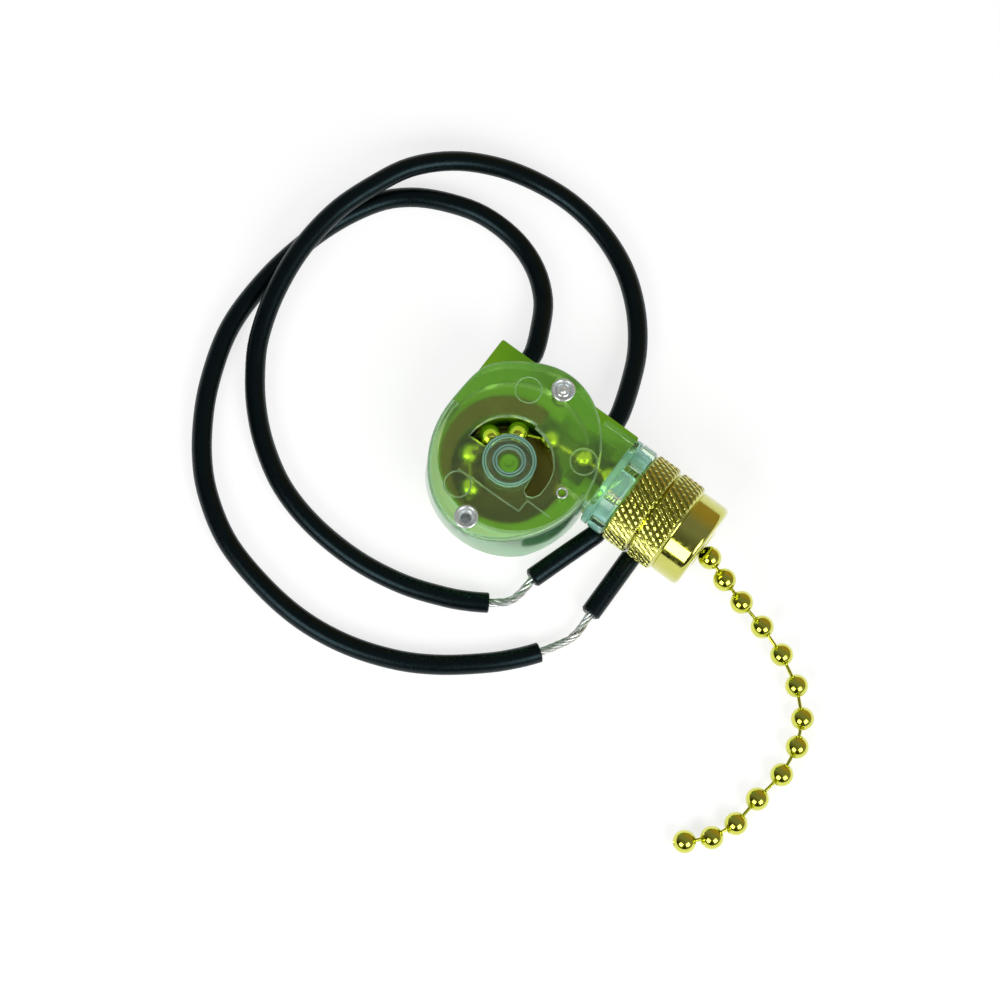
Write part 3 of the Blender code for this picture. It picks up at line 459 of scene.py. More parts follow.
def swept(path, radius, sides=16, edge=0.0, into=None):
    """A round rod along a path, with its two ends rounded by edge."""
    path = [Vector(point) for point in path]
    bm = bmesh.new() if into is None else into
    across = (path[1] - path[0]).orthogonal().normalized()
    places = [(point, radius) for point in path]
    if edge:
        out, back = (path[0] - path[1]).normalized(), (path[-1] - path[-2]).normalized()
        places = [(path[0], radius - edge), (path[0] - out * edge, radius), *places[1:-1]]
        places += [(path[-1] - back * edge, radius), (path[-1], radius - edge)]
    turns = [math.tau * k / sides for k in range(sides)]
    rings = []
    for i, (point, thick) in enumerate(places):
        before, after = places[max(i - 1, 0)][0], places[min(i + 1, len(places) - 1)][0]
        along = (after - before).normalized()
        across = (across - along * across.dot(along)).normalized()
        side = along.cross(across)
        rings.append([point + (across * math.cos(a) + side * math.sin(a)) * thick for a in turns])
    skin(bm, rings)
    return outward(bm)


def curve_point(before, here, after, beyond, t):
    """A point between here and after, on the smooth curve that goes on to their neighbours."""
    return (
        here
        + (after - before) * (t / 2)
        + (2 * before - 5 * here + 4 * after - beyond) * (t * t / 2)
        + (3 * here - before - 3 * after + beyond) * (t * t * t / 2)
    )


def smooth_path(route, spacing):
    """Evenly spaced points on one smooth curve through the route's points."""
    route = [Vector(point) for point in route]
    route = [2 * route[0] - route[1], *route, 2 * route[-1] - route[-2]]
    fine = []
    for before, here, after, beyond in zip(route, route[1:], route[2:], route[3:]):
        for i in range(CURVE_STEPS):
            fine.append(curve_point(before, here, after, beyond, i / CURVE_STEPS))
    fine.append(route[-2])
    lengths = [0.0]
    for first, second in zip(fine, fine[1:]):
        lengths.append(lengths[-1] + (second - first).length)
    count = max(2, round(lengths[-1] / spacing))
    path, at = [], 0
    for i in range(count + 1):
        wanted = lengths[-1] * i / count
        while at < len(fine) - 2 and lengths[at + 1] < wanted:
            at += 1
        share = (wanted - lengths[at]) / (lengths[at + 1] - lengths[at])
        path.append(fine[at].lerp(fine[at + 1], share))
    return path


def carve(bm, *steps):
    """Join and cut solids in turn. Each step is "UNION" or "DIFFERENCE" and the solids it takes."""
    body = helper("body", bm)
    tools = []
    for operation, *others in steps:
        for other in others:
            tool = helper("tool", other)
            modifier = body.modifiers.new("step", "BOOLEAN")
            modifier.operation = operation
            modifier.solver = "MANIFOLD"
            modifier.object = tool
            tools.append(tool)
    bpy.context.view_layer.update()
    graph = bpy.context.evaluated_depsgraph_get()
    made = bpy.data.meshes.new_from_object(body.evaluated_get(graph))
    for used in (body, *tools):
        bpy.data.objects.remove(used)
    out = bmesh.new()
    out.from_mesh(made)
    bpy.data.meshes.remove(made)
    bmesh.ops.remove_doubles(out, verts=out.verts, dist=CARVE_WELD)
    flat = math.radians(CARVE_FLAT)
    bmesh.ops.dissolve_limit(out, angle_limit=flat, verts=out.verts, edges=out.edges)
    return out


def helper(name, bm):
    mesh = bpy.data.meshes.new(name)
    bm.to_mesh(mesh)
    bm.free()
    return link_object(name, mesh)


def polar(radius, degrees, height=0.0):
    angle = math.radians(degrees)
    return Vector((radius * math.cos(angle), radius * math.sin(angle), height))


# Cords
STRAND_RADIUS = 0.2
STRAND_RING = 0.4
STRANDS_ROUND = 6
STRAND_LAY = 7.0  # length of one twist
STRAND_STEP, STRAND_SIDES, STRAND_EDGE = 0.5, 10, 0.05
LEAD_STEP, LEAD_SIDES, LEAD_EDGE = 1.2, 24, 0.15
SLUG_STEP, SLUG_EDGE = 0.6, 0.3


def strands(name, route):
    """Bare strands, twisted round a middle one."""
    path = smooth_path(route, STRAND_STEP)
    bm = bmesh.new()
    swept(path, STRAND_RADIUS, STRAND_SIDES, STRAND_EDGE, bm)
    across = (path[1] - path[0]).orthogonal().normalized()
    for k in range(STRANDS_ROUND):
        line, gone = [], 0.0
        for i, point in enumerate(path):
            before, after = path[max(i - 1, 0)], path[min(i + 1, len(path) - 1)]
            along = (after - before).normalized()
            across = (across - along * across.dot(along)).normalized()
            gone += (point - before).length
            angle = math.tau * (k / STRANDS_ROUND + gone / STRAND_LAY)
            out = across * math.cos(angle) + along.cross(across) * math.sin(angle)
            line.append(point + out * STRAND_RING)
        swept(line, STRAND_RADIUS, STRAND_SIDES, STRAND_EDGE, bm)
    return piece(name, bm, TINNED)


def laid(route):
    """A route with heights for its points on the table."""
    return [(*point, LEAD_DIAMETER / 2)[:3] for point in route]


def make_lead(name, side, route, strand_route, slug):
    """A lead in three pieces: jacket, bare wire and the slug at the far end."""
    x = side * LEAD_X
    start, leaves = Vector((x, LEAD_START, LEAD_Z)), Vector((x, BLOCK_BACK, LEAD_Z))
    outside = smooth_path([leaves, *laid(route)], LEAD_STEP)
    tube = swept([start, *outside], LEAD_DIAMETER / 2, LEAD_SIDES, LEAD_EDGE)
    jacket = piece(f"lead_{name}_jacket", tube, BLACK_PVC)
    wire = strands(f"lead_{name}_wire", laid(strand_route))
    loose = swept(smooth_path(laid(slug), SLUG_STEP), LEAD_DIAMETER / 2, LEAD_SIDES, SLUG_EDGE)
    end_piece = piece(f"lead_{name}_end_jacket", loose, BLACK_PVC)
    fit(jacket, "housing", "black_pvc", f"lead_{name}_insulation")
    fit(wire, "housing", "tinned_copper", f"lead_{name}_strands")
    fit(end_piece, "housing", "black_pvc", f"lead_{name}_slug")


BEAD_HOLE, BEAD_HOLE_DEPTH, BEAD_HOLE_EDGE = 0.5, 0.2, 0.06
BEAD_LIP = 3  # degrees that the hole's rounded lip takes from the ball
BEAD_SIDES, BEAD_STEPS = 32, 20
LINK_RADIUS, LINK_SIDES, LINK_EDGE = 0.25, 12, 0.05


def bead(bm, centre, along):
    """A ball with a drawn-in hole at each end, where its links go in."""
    lip = math.degrees(math.acos(BEAD_HOLE / BEAD_RADIUS))
    depth = BEAD_RADIUS * math.sin(math.radians(lip))
    floor = depth - BEAD_HOLE_DEPTH
    hole = [(0, floor), (BEAD_HOLE - BEAD_HOLE_EDGE, floor), (BEAD_HOLE, depth - BEAD_HOLE_EDGE)]
    ball = arc((0, 0), BEAD_RADIUS, lip - BEAD_LIP, BEAD_LIP - lip, BEAD_STEPS)
    profile = [*hole, *ball, *((radius, -height) for radius, height in hole[::-1])]
    join_into(bm, turned(profile, centre, along, BEAD_SIDES))


def join_into(bm, other):
    mesh = bpy.data.meshes.new("part")
    other.to_mesh(mesh)
    other.free()
    bm.from_mesh(mesh)
    bpy.data.meshes.remove(mesh)


def chain(name, centres, before=None):
    """Beads on their links. The first link starts at the bead before, where there is one."""
    bm = bmesh.new()
    line = ([before] if before is not None else []) + list(centres)
    for first, second in zip(line, line[1:]):
        inside = (second - first).normalized() * (BEAD_RADIUS - BEAD_HOLE_DEPTH)
        start, end = first + inside, second - inside
        swept([start, start.lerp(end, 0.5), end], LINK_RADIUS, LINK_SIDES, LINK_EDGE, bm)
    for i, centre in enumerate(line):
        if centre is before:
            continue
        ends = line[max(i - 1, 0)], line[min(i + 1, len(line) - 1)]
        bead(bm, centre, (ends[1] - ends[0]).normalized())
    return piece(name, bm, GOLD)


def bead_nodes(name, beads):
    return [f"{name}_bead_{i + 1:02d}" for i in range(len(beads))]


def make_chain():
    """The chain in three pieces: on the spool, in the neck, and free."""
    wrap = [PIVOT + polar(PITCH_RADIUS, angle, NECK.z) for angle in WRAP_ANGLES]
    neck = [NECK + Vector((x, y, 0)) for x, y in NECK_BEADS]
    free = []
    for along, across, share in FREE_BEADS:
        place = neck[-1] + Vector((along, across, 0)) * CHAIN_PITCH
        place.z = BEAD_RADIUS + share * (NECK.z - BEAD_RADIUS)
        free.append(place)
    fit(chain("chain_on_spool", wrap), "spool", "gold_plate", *bead_nodes("wrap", wrap))
    fit(chain("chain_in_neck", neck, wrap[-1]), "chain", "gold_plate", *bead_nodes("neck", neck))
    loose = fit(chain("chain_free", free, neck[-1]), "chain", "gold_plate", *bead_nodes("free", free))


# Housing
# From above, the cover's edge is a circle that swells round each rivet and over a corner of the block.
COVER_RADIUS = 11.2
SWELLINGS = ((94, 2.3, 46), (143, 0.95, 18), (266, 1.7, 42))  # direction, height and spread
EDGE_POINTS = 144
FOOT_CHAMFER = 0.25
ROUND_STEPS = 8
HOLLOW_TOP = 11.6
SKIRT_BACK = 1.7  # behind this the block stands in place of the cover's skirt
SHOULDER_LOW, SHOULDER_HIGH = (7.0, 0.7), (12.6, 11.45)
SHOULDER_TOP = 12.7
LUG_BOTTOM = 8.8  # the holes for the rivets go up from here
RIVET_HOLE, PIN_HOLE, HOLE_TOP = 1.2, 0.75, 14
FAR, REACH = 25, 15  # cutters go this far out or up, past what they cut
RIDGE = 0.13  # radius of the raised mould lines on the cover
MOULD_LINE = ((-4.8, -6.3), (5.1, -6.1), (5.15, -4.2), (9.0, -4.25))
SHOULDER_LINE = ((7.2, 10.8), (11.9, 10.8))
MOULD_RINGS = ((-3.79, 8.26), (-3.64, -8.03), (8.02, 4.69))
RING_RADIUS = 1.8
HUB_RADIUS, HUB_RING = 2.75, 3.7
HUB_BOTTOM, HUB_STEP, HUB_TOP = 8.9, 11.65, 13.45
HUB_BORE, HUB_BORE_TOP = 1.5, 12.55
HUB_DISH, HUB_DISH_FLOOR = 1.6, 13.0
HUB_GROOVE, HUB_GROOVE_LOW = (2.3, 3.05), 12.6
HUB_RIMS = (3.54, 3.21, 2.14, 1.76)
# The curved window about the hub: a rounded end as (radius, degrees), then two arcs out and one back.
WINDOW_END = ((3.7, 5), (3.95, -14), (4.35, -25), (4.8, -28), (5.4, -27), (5.9, -21), (6.1, -12))
WINDOW_START, WINDOW_STEP, WINDOW_STOP, WINDOW_BACK = -4, 90, 183, 8  # degrees
WINDOW_RADIUS, WINDOW_WIDE = 6.0, 6.45
OUTER_STEPS, INNER_STEPS = 32, 48
WINDOW_BOTTOM = 10
COLLAR_RADIUS = 6.75
COLLAR_BORE, BORE_STEP, BORE_END = 5.3, 13.3, 16
NICK_START, NICK_END = 12.65, 13.0
NICK_DEPTH, NICK_SLOPE = 0.3, 0.1
GROOVE_STEP, GROOVE_TURN = 40, -11  # degrees
GROOVE_WIDTH, GROOVE_DEPTH = 1.4, 1.05
GROOVE_START, GROOVE_END, GROOVE_TOP = 12.95, 16.2, 9


def edge_radius(degrees):
    radius = COVER_RADIUS
    for direction, height, spread in SWELLINGS:
        away = (degrees - direction + 180) % 360 - 180
        radius += height * math.exp(-((away / spread) ** 2))
    return radius


def cover_outline(inset, limit):
    """The cover's edge from above, drawn in to a limiting radius and then by an inset."""
    turns = [360 * k / EDGE_POINTS for k in range(EDGE_POINTS)]
    edge = [polar(min(edge_radius(turn), limit), turn) for turn in turns]
    outline = []
    for before, here, after in zip(edge[-1:] + edge, edge, edge[1:] + edge[:1]):
        along = (after - before).normalized()
        outline.append(here + Vector((-along.y, along.x, 0)) * inset)
    return outline


def cap_shape():
    """The outside of the cover, with its top edge rounded."""
    levels = [(FOOT_CHAMFER, COVER_FOOT, SKIRT_BOTTOM), (0.0, COVER_FOOT, SKIRT_BOTTOM + FOOT_CHAMFER)]
    for i in range(ROUND_STEPS + 1):
        turn = math.radians(90 * i / ROUND_STEPS)
        height = COVER_TOP - COVER_ROUND * (1 - math.sin(turn))
        levels.append((COVER_ROUND * (1 - math.cos(turn)), math.inf, height))
    rings = []
    for inset, limit, height in levels:
        rings.append([point + Vector((0, 0, height)) for point in cover_outline(inset, limit)])
    bm = bmesh.new()
    skin(bm, rings)
    return outward(bm)


def window_front():
    """The rimmed side of the window: its rounded end and the first arc."""
    end = [polar(radius, degrees).xy for radius, degrees in WINDOW_END]
    return [*end, *arc((0, 0), WINDOW_RADIUS, WINDOW_START, WINDOW_STEP, OUTER_STEPS)]


def window_outline():
    return [
        *window_front(),
        *arc((0, 0), WINDOW_WIDE, WINDOW_STEP, WINDOW_STOP, OUTER_STEPS),
        *arc((0, 0), HUB_RING, WINDOW_STOP, WINDOW_BACK, INNER_STEPS),
    ]


def ridge(line, height=COVER_TOP, at=(0, 0, 0)):
    return swept([Vector((x, y, height)) + Vector(at) for x, y in line], RIDGE, 8)


def ring_ridge(centre, radius, height=COVER_TOP):
    profile = [(radius + x, height + z) for x, z in arc((0, 0), RIDGE, 0, 315, 7)]
    return turned(profile, (centre[0], centre[1], 0), closed=True, sides=48)


def rod(radius, bottom, top, chamfer=0.0):
    """The profile of a round rod, with a chamfer at its foot."""
    foot = [(radius - chamfer, bottom), (radius, bottom + chamfer)] if chamfer else [(radius, bottom)]
    return [(0, bottom), *foot, (radius, top), (0, top)]


def stepped(radius, bottom, step, wide, top):
    """The profile of a round rod with two radii."""
    return [(0, bottom), (radius, bottom), (radius, step), (wide, step), (wide, top), (0, top)]


def about_neck(profile, sides=64):
    """A profile of (radius, x) points turned about the neck."""
    return turned(profile, (0, NECK.y, NECK.z), (1, 0, 0), sides)


def collar_groove(angle):
    """A cutter for one groove along the collar, turned from straight up."""
    half = GROOVE_WIDTH / 2
    floor = COLLAR_RADIUS - GROOVE_DEPTH
    bm = block((GROOVE_START, -half, floor), (GROOVE_END, half, GROOVE_TOP))
    return placed(bm, angle, "X", NECK)


def cover_shape():
    """The cap with its hub, collar and raised lines, hollowed and pierced."""
    nick = COLLAR_RADIUS - NICK_DEPTH
    collar = eased(
        [(0, COLLAR_START, 0), (COLLAR_RADIUS, COLLAR_START, 0.4), (COLLAR_RADIUS, NICK_START, 0),
         (nick, NICK_START + NICK_SLOPE, 0), (nick, NICK_END - NICK_SLOPE, 0), (COLLAR_RADIUS, NICK_END, 0),
         (COLLAR_RADIUS, COLLAR_END, 0.5), (0, COLLAR_END, 0)]
    )
    collar_bore = stepped(COLLAR_BORE, BLOCK_RIGHT, BORE_STEP, NUT_BORE, BORE_END)
    hub = stepped(HUB_RADIUS, HUB_BOTTOM, HUB_STEP, HUB_RING, HUB_TOP)
    inner, outer = HUB_GROOVE
    hub_groove = [(inner, HUB_GROOVE_LOW), (outer, HUB_GROOVE_LOW), (outer, REACH), (inner, REACH)]
    rivet_hole = rod(RIVET_HOLE, LUG_BOTTOM, HOLE_TOP)
    return carve(
        cap_shape(),
        (
            "DIFFERENCE",
            turned(rod(HOLLOW_RADIUS, 0, HOLLOW_TOP), sides=128),
            block((-FAR, SKIRT_BACK, 0), (FAR, FAR, LUG_BOTTOM)),
        ),
        (
            "UNION",
            turned(hub, PIVOT),
            block((*SHOULDER_LOW, LUG_BOTTOM), (*SHOULDER_HIGH, SHOULDER_TOP), 0.4),
            about_neck(collar, sides=96),
            *(ring_ridge(PIVOT, radius, HUB_TOP) for radius in HUB_RIMS),
            *(ring_ridge(centre, RING_RADIUS) for centre in MOULD_RINGS),
            *(ridge(ends) for ends in zip(MOULD_LINE, MOULD_LINE[1:])),
            ridge(SHOULDER_LINE, SHOULDER_TOP),
            ridge(window_front(), at=PIVOT),
        ),
        (
            "DIFFERENCE",
            turned(hub_groove, PIVOT, closed=True),
            turned(rod(HUB_BORE, 0, HUB_BORE_TOP), PIVOT),
            turned(rod(HUB_DISH, HUB_DISH_FLOOR, REACH), PIVOT),
            prism(window_outline(), WINDOW_BOTTOM, REACH, PIVOT),
            about_neck(collar_bore),
            turned(rod(PIN_HOLE, 0, HOLE_TOP), PIN, sides=24),
            turned(rivet_hole, (0, RIVET_Y, 0), sides=32),
            turned(rivet_hole, (0, -RIVET_Y, 0), sides=32),
            *(collar_groove(GROOVE_TURN + GROOVE_STEP * i) for i in range(360 // GROOVE_STEP)),
        ),
    )


def make_cover():
    names = list(COVER_FINISHES)
    cover = piece("clear_cover", cover_shape(), COVER_FINISHES[names[0]], bevel=0.12)
    fit(cover, "housing", "clear_plastic", "cover")
    for name in names[1:]:
        cover.data.materials.append(COVER_FINISHES[name])
    for face in cover.data.polygons:
        corners = [cover.data.vertices[i].co / MM for i in face.vertices]
        face.material_index = names.index(cover_finish(corners, face.normal.z))


LEVEL = 0.99  # upright share of a level face's normal
STEEP = 0.9
SLACK = 0.1
RAISED = 0.02  # raised lines go past the top by more than this
# From this y on, the wall of the hollow takes a dark copy of the clear plastic as painted shade.
PAINTED_SHADE_FROM = 1.5  # y from which the wall of the hollow is dim
HUB_FLAT = 1.7


def cover_finish(corners, up):
    """The finish of a face of the cover, by its name in COVER_FINISHES. Some finishes are painted shade or
    painted highlights.
    """
    top = max(corner.z for corner in corners)
    # The collar's outer faces take the milky finish: a haze of the plastic, and partly a painted highlight.
    if min(corner.x for corner in corners) > COLLAR_START:
        off_axis = min(math.hypot(corner.y - NECK.y, corner.z - NECK.z) for corner in corners)
        return "milky_and_painted_highlight" if off_axis > COLLAR_RADIUS - NICK_DEPTH - SLACK / 2 else "clear"
    level = abs(up) > LEVEL
    out = [corner.xy.length for corner in corners]
    on_hollow = max(abs(radius - HOLLOW_RADIUS) for radius in out) < SLACK / 2
    # Painted shade: the back of the hollow's wall and the level faces of the foot take the dark finish.
    painted_shade_wall = on_hollow and min(corner.y for corner in corners) > PAINTED_SHADE_FROM
    if painted_shade_wall or (level and top < SKIRT_BOTTOM + SLACK):
        return "painted_shade"
    from_hub = max((corner - PIVOT).xy.length for corner in corners)
    if from_hub < HUB_RING + SLACK:
        # The hub's rims take the milky finish as a painted highlight along them.
        if top > HUB_TOP + RAISED:
            return "milky_and_painted_highlight"
        return "satin" if level and from_hub < HUB_FLAT else "clear"
    # Raised lines take the pale raised finish: a painted highlight along them.
    if top > COVER_TOP + RAISED:
        return "raised"
    # Painted light on the rim: faces that look up take the pale raised finish as a painted highlight, the
    # others the darker edge finish as painted shade.
    if min(out) > HOLLOW_RADIUS + 2 * SLACK and abs(up) < STEEP:
        return "raised" if up > 0.2 else "edge"
    return "satin" if level else "clear"


BASE_RADIUS, BASE_CHAMFER = 10.15, 0.25
CAVITY_RADIUS, CAVITY_CHAMFER = 7.6, 0.3
CHANNEL_FLOOR, CHANNEL_BACK = 4.85, 8.2
OVER = 10  # cutters for the base reach up to this
LEAD_HOLE, LEAD_HOLE_START = 1.6, 9.6
POCKET_HALF, POCKET_FRONT = 1.6, 6.2
POCKET_FLOOR, POCKET_TOP = 1.6, 5.2
STRIP_NEAR, STRIP_FAR, STRIP_BACK, STRIP_TOP = 6.05, 7.15, 6.8, 4.2
SINK_RADIUS, SINK_TOP = 1.65, 0.8


def terminal_cuts(side):
    """Cutters that make room for a terminal's lead, barrel and strip."""
    x = side * LEAD_X
    near, far = sorted((side * STRIP_NEAR, side * STRIP_FAR))
    return [
        turned(rod(LEAD_HOLE, LEAD_HOLE_START, REACH), (x, 0, LEAD_Z), (0, 1, 0), sides=32),
        block((x - POCKET_HALF, POCKET_FRONT, POCKET_FLOOR), (x + POCKET_HALF, LEAD_START, POCKET_TOP), 0.2),
        block((near, PIVOT.y, POCKET_FLOOR), (far, STRIP_BACK, STRIP_TOP)),
    ]


def make_base():
    """The green moulding: a disc and a block, with a well for the spool and a channel for the chain."""
    disc = rod(BASE_RADIUS, 0, BLOCK_TOP, BASE_CHAMFER)
    well = rod(CAVITY_RADIUS, BASE_FLOOR, OVER, CAVITY_CHAMFER)
    rivet_hole = stepped(SINK_RADIUS, -1, SINK_TOP, RIVET_HOLE, OVER)
    post = [(0, 0.7), (1.3, 0.7), (1.3, 12.0), (1.1, 12.3), (0.7, 12.3), (0.55, 12.1), (0, 12.1)]
    pin = [(0, 4), (0.55, 4), (0.55, 12.9), (0.4, 13.05), (0, 13.05)]
    made = carve(
        block((BLOCK_LEFT, BLOCK_FRONT, 0), (BLOCK_RIGHT, BLOCK_BACK, BLOCK_TOP), 0.3),
        ("UNION", turned(disc, sides=128)),
        (
            "DIFFERENCE",
            turned(well, PIVOT, sides=128),
            block((0, 2.2, CHANNEL_FLOOR), (9.2, CHANNEL_BACK, OVER), 0.3),
            block((0, 4.0, CHANNEL_FLOOR), (13, CHANNEL_BACK, OVER)),
            block((2.0, 8.0, 5.6), (10.4, 9.6, OVER), 0.3),
            *terminal_cuts(-1),
            *terminal_cuts(1),
            turned(rivet_hole, (0, RIVET_Y, 0), sides=32),
        ),
        ("UNION", turned(post, PIVOT, sides=48), turned(pin, PIN, sides=24)),
    )
    fit(piece("green_base", made, GREEN, bevel=0.15), "housing", "green_plastic", "base")


WASHER_CENTRE = (-0.9, -0.4, 0)
WASHER_RADIUS, WASHER_TOP = 8.8, 8.7
WASHER_BACK = 1.2  # the washer stops here, at the channel
WASHER_CUT = (8, 9)  # heights of its cutters


def make_washer():
    """A brown insulating washer on the base, round the well that the spool turns in."""
    disc = turned(rod(WASHER_RADIUS, BLOCK_TOP, WASHER_TOP), WASHER_CENTRE, sides=128)
    low, high = WASHER_CUT
    well = turned(rod(CAVITY_RADIUS, low, high), PIVOT, sides=128)
    made = carve(disc, ("DIFFERENCE", well, block((0, WASHER_BACK, low), (REACH, REACH, high))))
    fit(piece("insulating_washer", made, BROWN), "housing", "brown_plastic")


RIVET_RADIUS = 1.0
RIVET_SEAT = COVER_TOP + 0.02
BLIND_END = LUG_BOTTOM + 0.2
EYELET_LOW, EYELET_TOP = 12.9, 13.35


def make_rivets():
    """Tubular rivets with a rolled rim. The upper one's middle is filled, the lower one's is hollow."""
    seat = RIVET_SEAT
    rim = [(RIVET_RADIUS, seat), *arc((1.42, seat + 0.22), 0.22, -90, 180, 12), (1.19, seat - 0.15)]
    rolled_foot = [(0, 0.1), (0.55, 0.1), *arc((1.25, 0.3), 0.2, -90, 90, 6), (RIVET_RADIUS, 0.5)]
    button = [
        (0.98, seat - 0.2), (0.95, seat + 0.1), (0.8, seat + 0.18), (0.45, seat + 0.12), (0.25, seat + 0.26),
        (0, seat + 0.3),
    ]
    blind_foot = [(0, BLIND_END), (0.8, BLIND_END), (RIVET_RADIUS, BLIND_END + 0.2)]
    hole = [(RIVET_RADIUS, seat - 0.3), (0.72, seat - 0.6), (0.68, seat - 3.0), (0, seat - 3.1)]
    profiles = {"upper": [*rolled_foot, *rim, *button], "lower": [*blind_foot, *rim, *hole]}
    for (name, profile), y in zip(profiles.items(), (RIVET_Y, -RIVET_Y)):
        made = piece(f"tube_rivet_{name}", turned(profile, (0, y, 0), sides=48), STEEL)
        fit(made, "housing", "plated_steel", f"rivet_{name}")
    eyelet = eased(
        [(0.55, EYELET_LOW, 0), (0.55, EYELET_TOP, 0.1), (0.8, EYELET_TOP, 0.1), (0.8, RIVET_SEAT, 0),
         (0.74, EYELET_LOW, 0)]
    )
    fit(piece("pin_eyelet", turned(eyelet, PIN, sides=32, closed=True), STEEL), "housing", "plated_steel")


# Works inside the housing
SPOOL_BORE, SPOOL_CORE, SPOOL_FLANGE = 1.5, 3.5, 7.0
SPOOL_BOTTOM, SPOOL_LIP, SPOOL_TOP = 4.2, 5.2, 8.6
FORK_ANGLE = (WRAP_ANGLES[0] + WRAP_ANGLES[1]) / 2
DRIVE_LUGS = 4
DRIVE_TURN = 34.5
DRIVE_IN, DRIVE_OUT, DRIVE_HALF = 2.9, 4.3, 0.6
DRIVE_LOW, DRIVE_RAMP, DRIVE_HIGH = 3.7, 4.15, 4.5
NOTCH_RADIUS, NOTCH_FLOOR = 0.55, 7.65
SPRING_RADIUS = 3.4
SPRING_WIRE = 0.5
SPRING_TURNS = 1.85
SPRING_START = -120
SPRING_LOW, SPRING_RISE = 9.15, 1.8
SPRING_POINTS, END_POINTS = 64, 4
SPRING_FOOT, SPRING_TAIL = 1.2, 1.9
SPRING_TAIL_TURN = 35


def drive_lug(number):
    """A lug below the spool that pushes the rotor, with a ramp behind."""
    bm = block((DRIVE_IN, -DRIVE_HALF, DRIVE_LOW), (DRIVE_OUT, DRIVE_HALF, DRIVE_HIGH), 0.1)
    for vert in bm.verts:
        if vert.co.z < DRIVE_RAMP and vert.co.y > 0:
            vert.co.z = DRIVE_RAMP
    return placed(bm, 360 / DRIVE_LUGS * number + DRIVE_TURN)


def make_spool():
    """The spool, with a fork that holds the chain between two beads, and lugs that drive the rotor."""
    profile = eased(
        [(SPOOL_BORE, SPOOL_BOTTOM, 0.1), (SPOOL_FLANGE, SPOOL_BOTTOM, 0.2), (SPOOL_FLANGE, SPOOL_LIP, 0.15),
         (6.6, SPOOL_LIP, 0.1), (6.4, 5.0, 0.1), (SPOOL_CORE, 5.0, 0.4), (SPOOL_CORE, SPOOL_TOP, 0.25),
         (SPOOL_BORE, SPOOL_TOP, 0.15)]
    )
    fork = placed(block((1.75, -0.4, 4.6), (6.7, 0.4, 7.75)), FORK_ANGLE)
    slot = placed(block((4.25, -0.8, 6.15), (5.66, 0.8, 9)), FORK_ANGLE)
    notch = rod(NOTCH_RADIUS, NOTCH_FLOOR, REACH)
    made = carve(
        turned(profile, PIVOT, sides=96, closed=True),
        ("UNION", fork, *(drive_lug(number) for number in range(DRIVE_LUGS))),
        ("DIFFERENCE", slot, turned(notch, PIVOT + polar(SPRING_RADIUS, SPRING_START), sides=24)),
    )
    fit(piece("winding_spool", made, BROWN, bevel=0.1), "spool", "brown_plastic", "spool")


def make_return_spring():
    """The coil, with a foot in the spool's notch and a straight tail under the cover."""
    coil = []
    for i in range(SPRING_POINTS + 1):
        share = i / SPRING_POINTS
        angle = SPRING_START + 360 * SPRING_TURNS * share
        coil.append(PIVOT + polar(SPRING_RADIUS, angle, SPRING_LOW + SPRING_RISE * share))
    tail_angle = SPRING_START + 360 * SPRING_TURNS + SPRING_TAIL_TURN
    foot, tail = [], []
    for i in range(END_POINTS):
        foot.append(coil[0] - Vector((0, 0, SPRING_FOOT * (1 - i / END_POINTS))))
        tail.append(coil[-1] + polar(SPRING_TAIL * (i + 1) / END_POINTS, tail_angle))
    made = piece("torsion_spring", swept([*foot, *coil, *tail], SPRING_WIRE / 2, 12, 0.05), WIRE)
    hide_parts("return_spring")
    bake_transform(made)


def finish_inner_nodes():
    """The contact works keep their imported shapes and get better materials."""
    finishes = {
        "contact_rotor": IVORY, "contact_bridge": COPPER, "terminal_left": BRASS_SHEET,
        "terminal_right": BRASS_SHEET, "lead_left_core": TINNED, "lead_right_core": TINNED,
    }
    for node, finish in finishes.items():
        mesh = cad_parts[node].data
        mesh.materials.clear()
        mesh.materials.append(finish)


# Neck
THREAD_PITCH = 0.94
THREAD_DEPTH = 0.35
THREAD_ROWS = 8  # rings for each turn of the thread
NIPPLE_SIDES = 64
NIPPLE_START, NIPPLE_END = 13.0, 24.55
NIPPLE_BORE = 2.5
FLANGE_RADIUS, FLANGE_START, FLANGE_END = 5.1, 12.0, 12.95
KNURL_ROUND = 44
KNURL_DEPTH = 0.28
KNURL_CROSS = 0.22  # share of that depth in the grooves that lean the other way
KNURL_LAND = 0.4  # share of a groove's spacing that is left flat
KNURL_LEAN = 30  # degrees from the neck's axis
KNURL_SAMPLES = 10
KNURL_POINTS = KNURL_ROUND * KNURL_SAMPLES
NUT_CHAMFER = 0.4
BORE_EDGE = 0.25
NOSE_ROUND = 0.85
MOUTH_RADIUS, MOUTH_FLOOR = 2.2, 24.85


def groove(place):
    """Depth of a knurl groove from 0 to 1, where its middle is at a whole number."""
    off = abs(place - round(place))
    return max(0.0, 1 - off / (0.5 - KNURL_LAND / 2))


def ring_point(radius, x, turn):
    """A point off the neck's axis, at a share of a full turn."""
    angle = math.tau * turn
    return Vector((x, NECK.y + radius * math.cos(angle), NECK.z + radius * math.sin(angle)))


